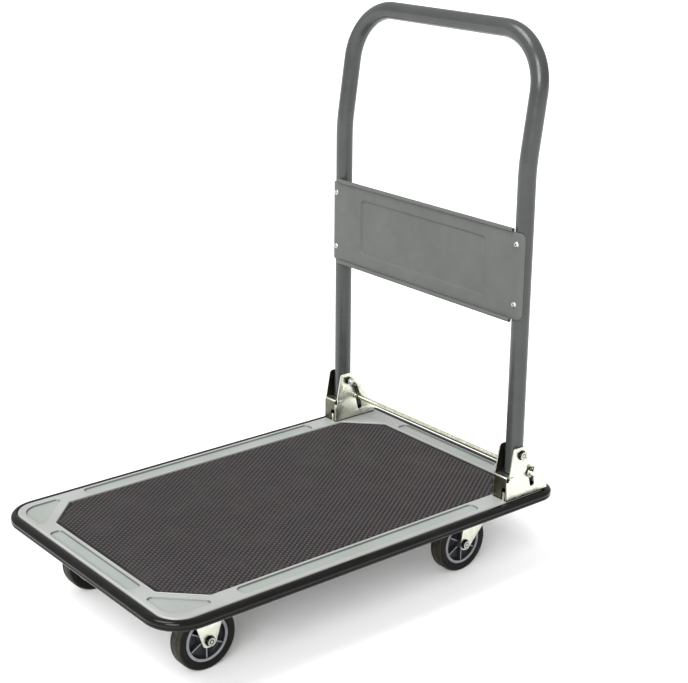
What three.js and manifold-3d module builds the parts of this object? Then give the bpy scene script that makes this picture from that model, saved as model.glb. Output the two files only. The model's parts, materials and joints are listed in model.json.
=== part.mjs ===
// Folding platform cart: a pressed steel deck with a rubber mat and an edge bumper, a hoop handle
// that folds down over the deck, a sprung lock bar, two fixed casters and two swivel casters.
// Millimetres, +Z up. X is the width, Y the length, and the handle stands at the +Y end.
import * as THREE from 'three';
import { mergeVertices } from 'three/addons/utils/BufferGeometryUtils.js';
import Module from 'manifold-3d';

const wasm = await Module();
wasm.setup();

// ---- driving dimensions ------------------------------------------------------------------------
const GAP = 0.3; // clearance left between pieces that touch
const DECK_TOP = 134; // rim of the deck above the floor
const DECK_HALF_WIDTH = 226.5;
const DECK_HALF_LENGTH = 356.5;
const DECK_CORNERS = { front: 36, rear: 24 }; // plan radii of the deck corners
const SHEET = 1.5; // deck sheet thickness
const SKIRT_DEPTH = 14; // turned-down edge of the deck

const BUMPER_HALF_WIDTH = 239.5;
const BUMPER_HALF_LENGTH = 371;
const BUMPER_CORNERS = { front: 58, rear: 37 };
const BUMPER_REACH = 13.5; // width of the bumper's section out from the rim

const MAT_HALF_WIDTH = 191;
const MAT_HALF_LENGTH = 323.2;
const MAT_CLIP = 53; // length of each clipped mat corner along X and Y
const MAT_THICK = 3.2;
const MAT_EDGE_ROUND = 1;
const MAT_SUNK = 0.8; // mat surface below the rim
const TRAY_CLEARANCE = 1.2; // gap around the mat in its tray

const RECESS_DEPTH = 2.5; // pressed panels around the mat
const SIDE_RECESS = { x: [197.5, 219], y: [-233, 212] };
const END_RECESS_HALF_LENGTH = 113;
const END_RECESS_Y = [331, 350];
const CORNER_RECESS = { x: 212, y: 346, leg: 73.5, roundOuter: 28, roundInner: 6 };
const SIDE_RECESS_ROUND = 8;
const END_RECESS_ROUND = 7;

const TUBE_RADIUS = 14;
const TUBE_WALL = 1.6;
const TUBE_X = 212.25; // centre of each upright
const TUBE_Y = 288.3;
const PIVOT_HEIGHT = 72; // handle pivot above the deck rim
const TUBE_FOOT_HEIGHT = 41; // lower end of the uprights above the deck rim
const LEAN = THREE.MathUtils.degToRad(8.5); // backward lean of the upper handle
const LEAN_HEIGHT = 523; // where the lean begins, above the deck rim
const LEAN_BEND_RADIUS = 300;
const TOP_BAR_HEIGHT = 714.3; // centre of the top bar above the deck rim
const HOOP_CORNER = 85; // centre-line radius of the hoop's corners

const PANEL_SHEET = 1.2;
const PANEL_Z = [292.5, 427]; // above the deck rim
const PANEL_WRAP = THREE.MathUtils.degToRad(52); // how far each end wraps around its upright
const PANEL_CORNER = 9;
const HEM_RADIUS = 3.2;
const HEM_HALF_LENGTH = 206;
const PANEL_DIP = { x: 148, z: [314, 407], depth: 2, round: 6 };
const RIVET_HEIGHTS = [315.2, 408.5];
const RIVET_SHANK = 2.3;
const RIVET_HEAD = 4.7;

const BRACKET_HALF_WIDTH = 16.4;
const BRACKET_SHEET = 2;
const BRACKET_Y = [260, 348];
const BRACKET_HEIGHT = 85;
const BRACKET_TOP_Y = [272, 294]; // level top edge of each cheek
const CHEEK_SHOULDER = { y: 312, z: 67, round: 8 }; // where the rear edge turns down
const CHEEK_TOE = 10; // height of the cheek's rear end
const WEB_HEIGHT = 39.5;
const NOTCH = { width: 10, height: 22 }; // opening at the foot of the web, beside one cheek
const TONGUE = { x: [2.5, 7], height: 14 }; // strip left standing in the notch
const LUG = { y: [264, 271], z: [36, 39.5], reach: 1.6 };
const BOLT_RADIUS = 4;
const HOLE_CLEARANCE = 0.35;

const BAR_RADIUS = 4;
const BAR_HALF_LENGTH = 237;
const BAR_Y = 309;
const BAR_HEIGHT = 38.5; // lock bar at rest above the deck rim
const BAR_TRAVEL = 22;
const SLOT_TILT = THREE.MathUtils.degToRad(14.5); // the slot runs down and backward
const SLOT_HALF_WIDTH = 4.7;
const HOOK = { y: 298.5, z: 65 }; // spring hole in each bracket, height above the deck rim
const SPRING_X = 191.4;
const SPRING_COIL = 3; // mean radius of the coils
const SPRING_WIRE = 0.6;
const SPRING_TURNS = 7;

const WHEEL_RADIUS = 48.5;
const TYRE_WIDTH = 24;
const RIM_RADIUS = 35;
const CORE_WIDTH = 22;
const RIB_COUNT = 6;
const WHEEL_X = 152;
const FIXED_Y = -258;
const SWIVEL_AXLE_Y = 230.5;
const KINGPIN_Y = 262;
const FORK_GAP = 15; // inner face of each fork leg from the wheel's centre plane
const FORK_SHEET = 2.2;
const PLATE_THICK = 2.5;
const PLATE_HALF = [32, 46];
const PLATE_ROUND = 6;
const KINGPIN_RADIUS = 6;
const KINGPIN_HOLE = 6.5;
const PLATE_TOP = DECK_TOP - MAT_SUNK - MAT_THICK - GAP - SHEET - GAP;
const BEARING_RADIUS = 27;
const BEARING_THICK = 5.5;
const CROWN_RADIUS = 29;

const STIFFENER = { x: 75, halfWidth: 20, halfLength: 300, depth: 18, sheet: 1.5 };

// Straight steps that stand for one arc of an outline, or for one full circle.
const FINE_STEPS = 20;
const ROUND_STEPS = 16;
const HOLE_STEPS = 12;
const SMALL_STEPS = 8;
const CORNER_STEPS = 4;
const DECK_CORNER_STEPS = 8;

// ---- colours and finishes ----------------------------------------------------------------------
const FINISHES = {
  deckPaint: [0xc4cac6, 0.35, 0.3],
  matRubber: [0x4b4547, 0.85, 0],
  bumperVinyl: [0x1c1d1c, 0.35, 0],
  tubePaint: [0x6b706d, 0.45, 0.2],
  zinc: [0xe4e4dc, 0.28, 0.9],
  yellowZinc: [0xd6cda4, 0.32, 0.9],
  steel: [0xc9cbc8, 0.3, 0.95],
  tyreRubber: [0x242321, 0.7, 0],
  corePlastic: [0x8b8c92, 0.5, 0],
};

function finish(name) {
  const [color, roughness, metalness] = FINISHES[name];
  return new THREE.MeshStandardMaterial({ color, roughness, metalness });
}

// ---- solid helpers -----------------------------------------------------------------------------
function solid(geometry) {
  const bare = geometry.clone();
  bare.deleteAttribute('normal');
  bare.deleteAttribute('uv');
  const merged = mergeVertices(bare, 1e-4);
  const mesh = new wasm.Mesh({
    numProp: 3,
    vertProperties: new Float32Array(merged.attributes.position.array),
    triVerts: new Uint32Array(merged.index.array),
  });
  return new wasm.Manifold(mesh);
}

function geometryOf(manifold) {
  const mesh = manifold.getMesh();
  const geometry = new THREE.BufferGeometry();
  geometry.setAttribute('position', new THREE.BufferAttribute(mesh.vertProperties, 3));
  geometry.setIndex(new THREE.BufferAttribute(mesh.triVerts, 1));
  geometry.computeVertexNormals();
  return geometry;
}

const union = (first, ...rest) => rest.reduce((whole, piece) => whole.add(piece), first);
const cut = (first, ...rest) => rest.reduce((whole, piece) => whole.subtract(piece), first);

function box([x0, x1], [y0, y1], [z0, z1]) {
  const geometry = new THREE.BoxGeometry(x1 - x0, y1 - y0, z1 - z0);
  geometry.translate((x0 + x1) / 2, (y0 + y1) / 2, (z0 + z1) / 2);
  return solid(geometry);
}

const FACES = {
  x: new THREE.Matrix4().set(0, 0, 1, 0, 1, 0, 0, 0, 0, 1, 0, 0, 0, 0, 0, 1),
  y: new THREE.Matrix4().set(0, 1, 0, 0, 0, 0, 1, 0, 1, 0, 0, 0, 0, 0, 0, 1),
  z: new THREE.Matrix4(),
};

// Extrudes an outline between two stations of an axis. The outline's own plane is YZ for x,
// ZX for y and XY for z. An arc gets twice as many steps as curveSegments asks for.
function prism(axis, outline, [from, to], steps = CORNER_STEPS) {
  const geometry = new THREE.ExtrudeGeometry(outline, {
    depth: to - from,
    bevelEnabled: false,
    curveSegments: steps / 2,
  });
  geometry.translate(0, 0, from);
  geometry.applyMatrix4(FACES[axis]);
  return solid(geometry);
}

function disc(radius, centre = [0, 0]) {
  const outline = new THREE.Shape();
  outline.absarc(centre[0], centre[1], radius, 0, Math.PI * 2);
  return outline;
}

const rod = (axis, radius, centre, span, steps = HOLE_STEPS) =>
  prism(axis, disc(radius, centre), span, steps);

function hexagon(acrossFlats, centre) {
  const radius = acrossFlats / Math.sqrt(3);
  const corners = Array.from({ length: 6 }, (_, i) => {
    const angle = (i * Math.PI) / 3;
    return new THREE.Vector2(
      centre[0] + radius * Math.cos(angle),
      centre[1] + radius * Math.sin(angle),
    );
  });
  return new THREE.Shape(corners);
}

// Closed outline through corner points, each rounded by its own radius: [x, y, radius].
function roundedOutline(corners) {
  const outline = new THREE.Shape();
  corners.forEach(([x, y, radius], i) => {
    const here = new THREE.Vector2(x, y);
    const before = new THREE.Vector2(...corners.at(i - 1).slice(0, 2)).sub(here).normalize();
    const following = corners[(i + 1) % corners.length];
    const after = new THREE.Vector2(...following.slice(0, 2)).sub(here).normalize();
    const halfAngle = Math.acos(before.dot(after)) / 2;
    const reach = radius / Math.tan(halfAngle);
    const start = here.clone().addScaledVector(before, reach);
    const end = here.clone().addScaledVector(after, reach);
    const inward = before.clone().add(after).normalize();
    const centre = here.clone().addScaledVector(inward, radius / Math.sin(halfAngle));
    if (i === 0) outline.moveTo(start.x, start.y);
    else outline.lineTo(start.x, start.y);
    if (radius === 0) return;
    const from = Math.atan2(start.y - centre.y, start.x - centre.x);
    const to = Math.atan2(end.y - centre.y, end.x - centre.x);
    const clockwise = before.cross(after) > 0;
    outline.absarc(centre.x, centre.y, radius, from, to, clockwise);
  });
  outline.closePath();
  return outline;
}

function roundedRectangle(halfX, halfY, radius, [x, y] = [0, 0]) {
  return roundedOutline([
    [x - halfX, y - halfY, radius],
    [x + halfX, y - halfY, radius],
    [x + halfX, y + halfY, radius],
    [x - halfX, y + halfY, radius],
  ]);
}

// A path whose sweep stations are exactly the listed points.
class StationPath extends THREE.Curve {
  constructor(points) {
    super();
    this.points = points;
  }

  getPoint(t) {
    const place = t * (this.points.length - 1);
    const index = Math.min(Math.floor(place), this.points.length - 2);
    return this.points[index].clone().lerp(this.points[index + 1], place - index);
  }

  getSpacedPoints() {
    return this.points;
  }

  getTangentAt(t) {
    const index = Math.round(t * (this.points.length - 1));
    const next = this.points[Math.min(index + 1, this.points.length - 1)];
    const previous = this.points[Math.max(index - 1, 0)];
    const here = this.points[index];
    const forward = index < this.points.length - 1 ? next.clone().sub(here).normalize() : new THREE.Vector3();
    const backward = index > 0 ? here.clone().sub(previous).normalize() : new THREE.Vector3();
    return forward.add(backward).normalize();
  }
}

function sweep(outline, points, outlineSteps) {
  return solid(new THREE.ExtrudeGeometry(outline, {
    extrudePath: new StationPath(points),
    steps: points.length - 1,
    curveSegments: outlineSteps / 2,
  }));
}

// Points of a circular arc in the plane of two unit directions.
function arcPoints(centre, radius, toward, along, from, to, count) {
  return Array.from({ length: count + 1 }, (_, i) => {
    const angle = from + ((to - from) * i) / count;
    return centre.clone()
      .addScaledVector(toward, radius * Math.cos(angle))
      .addScaledVector(along, radius * Math.sin(angle));
  });
}

// Solid of revolution about X, from a profile of [radius, x] that starts and ends on the axis.
function turned(profile, segments = 40) {
  const geometry = new THREE.LatheGeometry(profile.map(([r, x]) => new THREE.Vector2(r, x)), segments);
  geometry.rotateZ(-Math.PI / 2);
  return solid(geometry);
}

const group = new THREE.Group();
group.name = 'folding_platform_cart';

function add(name, finishName, manifold) {
  const mesh = new THREE.Mesh(geometryOf(manifold), finish(finishName));
  mesh.name = name;
  group.add(mesh);
  return mesh;
}

const SIDES = [['left', -1], ['right', 1]];

// ---- deck --------------------------------------------------------------------------------------
function matOutline(grow) {
  const x = MAT_HALF_WIDTH + grow;
  const y = MAT_HALF_LENGTH + grow;
  const clip = MAT_CLIP + grow * (2 - Math.SQRT2);
  const corners = [
    [x - clip, -y], [x, -y + clip], [x, y - clip], [x - clip, y],
    [-x + clip, y], [-x, y - clip], [-x, -y + clip], [-x + clip, -y],
  ];
  return roundedOutline(corners.map((corner) => [...corner, MAT_EDGE_ROUND]));
}

// The pressed panels around the mat, each grown outward by the same amount.
function recessOutlines(grow) {
  const [sideNear, sideFar] = SIDE_RECESS.x;
  const [sideFront, sideRear] = SIDE_RECESS.y;
  const sideHalfX = (sideFar - sideNear) / 2 + grow;
  const sideHalfY = (sideRear - sideFront) / 2 + grow;
  const endHalfY = (END_RECESS_Y[1] - END_RECESS_Y[0]) / 2 + grow;
  const endMiddle = (END_RECESS_Y[0] + END_RECESS_Y[1]) / 2;
  const outlines = [];
  for (const side of [-1, 1]) {
    const sideCentre = [(side * (sideNear + sideFar)) / 2, (sideFront + sideRear) / 2];
    const endHalfX = END_RECESS_HALF_LENGTH + grow;
    outlines.push(roundedRectangle(sideHalfX, sideHalfY, SIDE_RECESS_ROUND + grow, sideCentre));
    outlines.push(roundedRectangle(endHalfX, endHalfY, END_RECESS_ROUND + grow, [0, side * endMiddle]));
    outlines.push(cornerRecess(side, grow));
  }
  return outlines;
}

function cornerRecess(side, grow) {
  const { x, y, leg, roundOuter, roundInner } = CORNER_RECESS;
  const tip = leg + grow * (1 + Math.SQRT2);
  const corners = [
    [side * (x + grow), -(y + grow), roundOuter + grow],
    [side * (x + grow), -(y - tip), roundInner + grow],
    [side * (x - tip), -(y + grow), roundInner + grow],
  ];
  return roundedOutline(side > 0 ? corners : corners.reverse());
}

function deckOutline(inset) {
  const x = DECK_HALF_WIDTH - inset;
  const y = DECK_HALF_LENGTH - inset;
  const front = DECK_CORNERS.front - inset;
  const rear = DECK_CORNERS.rear - inset;
  return roundedOutline([[-x, -y, front], [x, -y, front], [x, y, rear], [-x, y, rear]]);
}

function deckPan() {
  const floor = DECK_TOP - MAT_SUNK - MAT_THICK - GAP;
  const top = prism('z', deckOutline(0), [DECK_TOP - SHEET, DECK_TOP], DECK_CORNER_STEPS);
  const skirt = cut(
    prism('z', deckOutline(0), [DECK_TOP - SKIRT_DEPTH, DECK_TOP], DECK_CORNER_STEPS),
    prism('z', deckOutline(SHEET), [DECK_TOP - SKIRT_DEPTH - 1, DECK_TOP + 1], DECK_CORNER_STEPS),
  );
  const trayWall = prism('z', matOutline(TRAY_CLEARANCE + SHEET), [floor - SHEET, DECK_TOP], 2);
  const trayHollow = prism('z', matOutline(TRAY_CLEARANCE), [floor, DECK_TOP + 1], 2);
  const pressed = recessOutlines(SHEET)
    .map((outline) => prism('z', outline, [DECK_TOP - RECESS_DEPTH - SHEET, DECK_TOP]));
  const hollows = recessOutlines(0)
    .map((outline) => prism('z', outline, [DECK_TOP - RECESS_DEPTH, DECK_TOP + 1]));
  return cut(union(top, skirt, trayWall, ...pressed), trayHollow, ...hollows);
}

function deckMat() {
  const surface = DECK_TOP - MAT_SUNK;
  return prism('z', matOutline(0), [surface - MAT_THICK, surface], 2);
}

// Bumper section as [distance out from the rim, height above the rim]: a foot against the skirt,
// a narrow gap beside the rim, the bulge, a groove and the lower bead.
function bumperSection() {
  const foot = { out: 0.4, low: -15.8, high: -6 };
  const gapWall = 1.9;
  const bulge = { out: 4.5, z: -7, reachOut: 9, reachUp: 6, steps: 5 };
  const groove = [11.6, -9.4];
  const bead = { out: 9.5, z: -12, radius: 3.6, steps: 3 };
  const degrees = THREE.MathUtils.degToRad;
  const bulgeStart = Math.acos((gapWall - bulge.out) / bulge.reachOut);
  const bulgeEnd = degrees(-10);
  const points = [[foot.out, foot.low], [foot.out, foot.high], [gapWall, foot.high]];
  for (let i = 0; i <= bulge.steps; i += 1) {
    const angle = bulgeStart + ((bulgeEnd - bulgeStart) * i) / bulge.steps;
    const out = bulge.out + bulge.reachOut * Math.cos(angle);
    points.push([out, bulge.z + bulge.reachUp * Math.sin(angle)]);
  }
  points.push(groove);
  for (let i = 0; i <= bead.steps; i += 1) {
    const angle = degrees(40 - (130 * i) / bead.steps);
    points.push([bead.out + bead.radius * Math.cos(angle), bead.z + bead.radius * Math.sin(angle)]);
  }
  return points;
}

// Point on a rounded corner of a rectangle about the origin, in the direction of an angle.
function cornerPoint([x, y], radius, angle) {
  return new THREE.Vector2(
    x - Math.sign(x) * radius + radius * Math.cos(angle),
    y - Math.sign(y) * radius + radius * Math.sin(angle),
  );
}

// A closed ring that carries the section around the deck, between the rim and the outer outline.
function edgeBumper() {
  const section = bumperSection();
  const corners = [[1, 1, 'rear'], [-1, 1, 'rear'], [-1, -1, 'front'], [1, -1, 'front']];
  const positions = [];
  corners.forEach(([sideX, sideY, end], corner) => {
    const rimCorner = [sideX * DECK_HALF_WIDTH, sideY * DECK_HALF_LENGTH];
    const outerCorner = [sideX * BUMPER_HALF_WIDTH, sideY * BUMPER_HALF_LENGTH];
    for (let i = 0; i <= DECK_CORNER_STEPS; i += 1) {
      const angle = (Math.PI / 2) * (corner + i / DECK_CORNER_STEPS);
      const rim = cornerPoint(rimCorner, DECK_CORNERS[end], angle);
      const outer = cornerPoint(outerCorner, BUMPER_CORNERS[end], angle);
      for (const [out, z] of section) {
        const place = rim.clone().lerp(outer, out / BUMPER_REACH);
        positions.push(place.x, place.y, DECK_TOP + z);
      }
    }
  });
  const count = section.length;
  const stations = positions.length / 3 / count;
  const index = [];
  for (let s = 0; s < stations; s += 1) {
    const here = s * count;
    const next = ((s + 1) % stations) * count;
    for (let p = 0; p < count; p += 1) {
      const q = (p + 1) % count;
      index.push(here + p, here + q, next + p, here + q, next + q, next + p);
    }
  }
  const geometry = new THREE.BufferGeometry();
  geometry.setAttribute('position', new THREE.Float32BufferAttribute(positions, 3));
  geometry.setIndex(index);
  return solid(geometry);
}

// Open-bottomed channel under the mat tray.
function stiffener(side) {
  const { x, halfWidth, halfLength, depth, sheet } = STIFFENER;
  const span = [-halfLength, halfLength];
  const centre = side * x;
  const walls = box([centre - halfWidth, centre + halfWidth], span, [PLATE_TOP - depth, PLATE_TOP]);
  const hollow = box(
    [centre - halfWidth + sheet, centre + halfWidth - sheet],
    [span[0] - 1, span[1] + 1],
    [PLATE_TOP - depth - 1, PLATE_TOP - sheet],
  );
  return cut(walls, hollow);
}

// ---- handle brackets ---------------------------------------------------------------------------
// The same bracket serves both sides: base, two cheeks, and a front web with a folded top lip.
function bracket(side) {
  const base = DECK_TOP + GAP;
  const centre = side * TUBE_X;
  const outer = [centre - BRACKET_HALF_WIDTH, centre + BRACKET_HALF_WIDTH];
  const inner = [outer[0] + BRACKET_SHEET, outer[1] - BRACKET_SHEET];
  const [front, rear] = BRACKET_Y;
  const [topFront, topRear] = BRACKET_TOP_Y;
  const cheekOutline = roundedOutline([
    [front, base, 0],
    [rear, base, 0],
    [rear, base + CHEEK_TOE, 5],
    [CHEEK_SHOULDER.y, base + CHEEK_SHOULDER.z, CHEEK_SHOULDER.round],
    [topRear, base + BRACKET_HEIGHT, 4],
    [topFront, base + BRACKET_HEIGHT, 4],
    [front, base + WEB_HEIGHT, 6],
  ]);
  const cheeks = [
    prism('x', cheekOutline, [outer[0], inner[0]]),
    prism('x', cheekOutline, [inner[1], outer[1]]),
  ];
  const floor = box(outer, [front, rear], [base, base + BRACKET_SHEET]);
  const webTop = DECK_TOP + WEB_HEIGHT;
  const webY = [front, front + BRACKET_SHEET];
  const web = box(outer, webY, [base, webTop]);
  const lip = box(outer, [front, TUBE_Y - TUBE_RADIUS - GAP], [webTop - BRACKET_SHEET, webTop]);
  const notchX = [inner[1] - NOTCH.width, inner[1]];
  const notch = box(notchX, [front - 1, webY[1]], [base + BRACKET_SHEET, base + NOTCH.height]);
  const tongueX = [inner[1] - TONGUE.x[1], inner[1] - TONGUE.x[0]];
  const tongue = box(tongueX, webY, [base, base + TONGUE.height]);
  const lug = box([outer[1] - 1, outer[1] + LUG.reach], LUG.y, LUG.z.map((z) => DECK_TOP + z));
  const across = [outer[0] - 1, outer[1] + 1];
  const pivotHole = rod('x', BOLT_RADIUS + HOLE_CLEARANCE, [TUBE_Y, DECK_TOP + PIVOT_HEIGHT], across);
  const hookHole = rod('x', 2, [HOOK.y, DECK_TOP + HOOK.z], across, SMALL_STEPS);
  const shell = union(cut(union(...cheeks, floor, web, lip), notch), tongue, lug);
  return cut(shell, pivotHole, barSlot(across), hookHole);
}

// The slot that the lock bar slides in, from its rest at the top to the end of its travel.
function barSlot(across) {
  const halfTravel = BAR_TRAVEL / 2;
  const outline = roundedRectangle(
    SLOT_HALF_WIDTH,
    halfTravel + BAR_RADIUS + HOLE_CLEARANCE,
    BAR_RADIUS,
  );
  return prism('x', outline, across)
    .rotate([THREE.MathUtils.radToDeg(SLOT_TILT), 0, 0])
    .translate([
      0,
      BAR_Y + halfTravel * Math.sin(SLOT_TILT),
      DECK_TOP + BAR_HEIGHT - halfTravel * Math.cos(SLOT_TILT),
    ]);
}

// ---- handle ------------------------------------------------------------------------------------
// Centre line of the hoop, from the left foot over the top to the right foot.
function hoopPath() {
  const up = new THREE.Vector3(0, 0, 1);
  const back = new THREE.Vector3(0, 1, 0);
  const leaning = new THREE.Vector3(0, Math.sin(LEAN), Math.cos(LEAN));
  const bendReach = LEAN_BEND_RADIUS * Math.tan(LEAN / 2);
  const knee = new THREE.Vector3(-TUBE_X, TUBE_Y, DECK_TOP + LEAN_HEIGHT);
  const bendCentre = knee.clone().addScaledVector(up, -bendReach).addScaledVector(back, LEAN_BEND_RADIUS);
  const bend = arcPoints(bendCentre, LEAN_BEND_RADIUS, back.clone().negate(), up, 0, LEAN, 2);
  const rise = (TOP_BAR_HEIGHT - LEAN_HEIGHT) / Math.cos(LEAN);
  const inward = new THREE.Vector3(1, 0, 0);
  const cornerCentre = knee.clone()
    .addScaledVector(leaning, rise - HOOP_CORNER)
    .addScaledVector(inward, HOOP_CORNER);
  const outward = inward.clone().negate();
  const corner = arcPoints(cornerCentre, HOOP_CORNER, outward, leaning, 0, Math.PI / 2, 7);
  const foot = new THREE.Vector3(-TUBE_X, TUBE_Y, DECK_TOP + TUBE_FOOT_HEIGHT);
  const half = [foot, ...bend, ...corner];
  const mirrored = half.map((point) => new THREE.Vector3(-point.x, point.y, point.z)).reverse();
  return [...half, ...mirrored];
}

function handleTube() {
  const points = hoopPath();
  const outside = sweep(disc(TUBE_RADIUS), points, ROUND_STEPS);
  const bore = sweep(disc(TUBE_RADIUS - TUBE_WALL), points, HOLE_STEPS);
  const overrun = 2;
  const openEnds = SIDES.map(([, side]) => rod(
    'z',
    TUBE_RADIUS - TUBE_WALL - 0.05,
    [side * TUBE_X, TUBE_Y],
    [DECK_TOP + TUBE_FOOT_HEIGHT - overrun, DECK_TOP + TUBE_FOOT_HEIGHT + overrun],
  ));
  const boltHoles = SIDES.map(([, side]) => rod(
    'x',
    BOLT_RADIUS + HOLE_CLEARANCE,
    [TUBE_Y, DECK_TOP + PIVOT_HEIGHT],
    [side * TUBE_X - TUBE_RADIUS - 1, side * TUBE_X + TUBE_RADIUS + 1],
  ));
  const rivetHoles = SIDES.flatMap(([, side]) => RIVET_HEIGHTS.map((height) => rod(
    'y',
    RIVET_SHANK + HOLE_CLEARANCE,
    [DECK_TOP + height, side * TUBE_X],
    [TUBE_Y - TUBE_RADIUS - 1, TUBE_Y - TUBE_RADIUS + TUBE_WALL + 2],
    SMALL_STEPS,
  )));
  return cut(outside, bore, ...openEnds, ...boltHoles, ...rivetHoles);
}

const PANEL_BACK_RADIUS = TUBE_RADIUS + GAP; // inner face of the wrapped ends about each upright
const PANEL_FRONT = TUBE_Y - PANEL_BACK_RADIUS - PANEL_SHEET;

// Sheet section seen from above: a flat run whose ends wrap around the fronts of the uprights.
function panelSection() {
  const front = -Math.PI / 2;
  const outline = new THREE.Shape();
  const outerRadius = PANEL_BACK_RADIUS + PANEL_SHEET;
  outline.absarc(TUBE_X, TUBE_Y, outerRadius, front, front + PANEL_WRAP, false);
  outline.absarc(TUBE_X, TUBE_Y, PANEL_BACK_RADIUS, front + PANEL_WRAP, front, true);
  outline.absarc(-TUBE_X, TUBE_Y, PANEL_BACK_RADIUS, front, front - PANEL_WRAP, true);
  outline.absarc(-TUBE_X, TUBE_Y, outerRadius, front - PANEL_WRAP, front, false);
  outline.closePath();
  return outline;
}

// A hollow rolled edge along the front of the panel's top or bottom, and the strip that carries it.
function hem(height, direction) {
  const middle = DECK_TOP + height + direction * (HEM_RADIUS - 0.4);
  const centre = [PANEL_FRONT + PANEL_SHEET - HEM_RADIUS, middle];
  const span = [-HEM_HALF_LENGTH, HEM_HALF_LENGTH];
  const edge = [middle - direction * HEM_RADIUS, middle].sort((a, b) => a - b);
  return {
    bead: rod('x', HEM_RADIUS, centre, span),
    strip: box(span, [PANEL_FRONT, PANEL_FRONT + PANEL_SHEET], edge),
    hollow: rod('x', HEM_RADIUS - PANEL_SHEET, centre, [span[0] - 1, span[1] + 1], SMALL_STEPS),
  };
}

function backPanel() {
  const [low, high] = PANEL_Z.map((height) => DECK_TOP + height);
  const reach = TUBE_X + (PANEL_BACK_RADIUS + PANEL_SHEET) * Math.sin(PANEL_WRAP);
  const sheet = prism('z', panelSection(), [low, high], 6);
  const frame = roundedRectangle((high - low) / 2, reach + 0.2, PANEL_CORNER, [(low + high) / 2, 0]);
  const trimmed = sheet.intersect(prism('y', frame, [PANEL_FRONT - 5, TUBE_Y]));
  const dipHalf = (PANEL_DIP.z[1] - PANEL_DIP.z[0]) / 2;
  const dipCentre = [DECK_TOP + (PANEL_DIP.z[0] + PANEL_DIP.z[1]) / 2, 0];
  const dipBack = PANEL_FRONT + PANEL_DIP.depth + PANEL_SHEET;
  const dipOutline = (grow) => roundedRectangle(
    dipHalf + grow,
    PANEL_DIP.x + grow,
    PANEL_DIP.round + grow,
    dipCentre,
  );
  const top = hem(PANEL_Z[1], 1);
  const bottom = hem(PANEL_Z[0], -1);
  const rivetHoles = SIDES.flatMap(([, side]) => RIVET_HEIGHTS.map((height) => rod(
    'y',
    RIVET_SHANK + HOLE_CLEARANCE,
    [DECK_TOP + height, side * TUBE_X],
    [PANEL_FRONT - 1, PANEL_FRONT + PANEL_SHEET + 1],
    SMALL_STEPS,
  )));
  return cut(
    union(
      trimmed,
      prism('y', dipOutline(PANEL_SHEET), [PANEL_FRONT, dipBack]),
      top.bead,
      top.strip,
      bottom.bead,
      bottom.strip,
    ),
    prism('y', dipOutline(0), [PANEL_FRONT - 1, dipBack - PANEL_SHEET]),
    top.hollow,
    bottom.hollow,
    ...rivetHoles,
  );
}

function panelRivet(side, height) {
  const front = PANEL_FRONT - GAP;
  const centre = [DECK_TOP + height, side * TUBE_X];
  const head = union(
    rod('y', RIVET_HEAD, centre, [front - 1.1, front]),
    rod('y', RIVET_HEAD * 0.8, centre, [front - 2.1, front - 1]),
  );
  const shankEnd = front + PANEL_SHEET + TUBE_WALL + 3;
  const shank = rod('y', RIVET_SHANK, centre, [front - 1, shankEnd], SMALL_STEPS);
  const mandrelHole = rod('y', 1.2, centre, [front - 3, front - 0.8], SMALL_STEPS);
  return cut(union(head, shank), mandrelHole);
}

// ---- fasteners ---------------------------------------------------------------------------------
const NUT_THICK = 6.4;
const NUT_REACH = GAP + NUT_THICK + 2; // bolt end beyond the face its nut sits on
const HEAD_THICK = 5.3;
const HEX = 13;

// A bolt along X with its head on the far side from the nut. Spans are measured outward.
function bolt(direction, [y, z], headFace, tipEnd) {
  const span = (a, b) => (direction > 0 ? [a, b] : [-b, -a]);
  const head = prism('x', hexagon(HEX, [y, z]), span(headFace + GAP, headFace + GAP + HEAD_THICK));
  const shank = rod('x', BOLT_RADIUS, [y, z], span(tipEnd, headFace + GAP + 0.5));
  return union(head, shank);
}

function nut(direction, [y, z], face) {
  const ends = [face - GAP - NUT_THICK, face - GAP];
  const span = direction > 0 ? ends : [-ends[1], -ends[0]];
  const bore = rod('x', BOLT_RADIUS + 0.15, [y, z], [span[0] - 1, span[1] + 1]);
  return cut(prism('x', hexagon(HEX, [y, z]), span), bore);
}

// ---- lock bar ----------------------------------------------------------------------------------
const WASHER_FACE = TUBE_X + BRACKET_HALF_WIDTH + 2 * GAP;
const WASHER_THICK = 1.6;
const WASHER_RADIUS = 8.5;
const PIN_X = WASHER_FACE + WASHER_THICK + 3;
const PIN_WIRE = 0.9;

function lockBar() {
  const centre = [BAR_Y, DECK_TOP + BAR_HEIGHT];
  const bar = rod('x', BAR_RADIUS, centre, [-BAR_HALF_LENGTH, BAR_HALF_LENGTH], ROUND_STEPS);
  const pinHoles = SIDES.map(([, side]) => rod(
    'z',
    2 * PIN_WIRE + HOLE_CLEARANCE,
    [side * PIN_X, BAR_Y],
    [centre[1] - BAR_RADIUS - 1, centre[1] + BAR_RADIUS + 1],
    SMALL_STEPS,
  ));
  return cut(bar, ...pinHoles);
}

function lockWasher(side) {
  const ends = [side * WASHER_FACE, side * (WASHER_FACE + WASHER_THICK)];
  const span = ends.sort((a, b) => a - b);
  const centre = [BAR_Y, DECK_TOP + BAR_HEIGHT];
  const hole = rod('x', BAR_RADIUS + GAP, centre, [span[0] - 1, span[1] + 1]);
  return cut(rod('x', WASHER_RADIUS, centre, span, ROUND_STEPS), hole);
}

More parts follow.
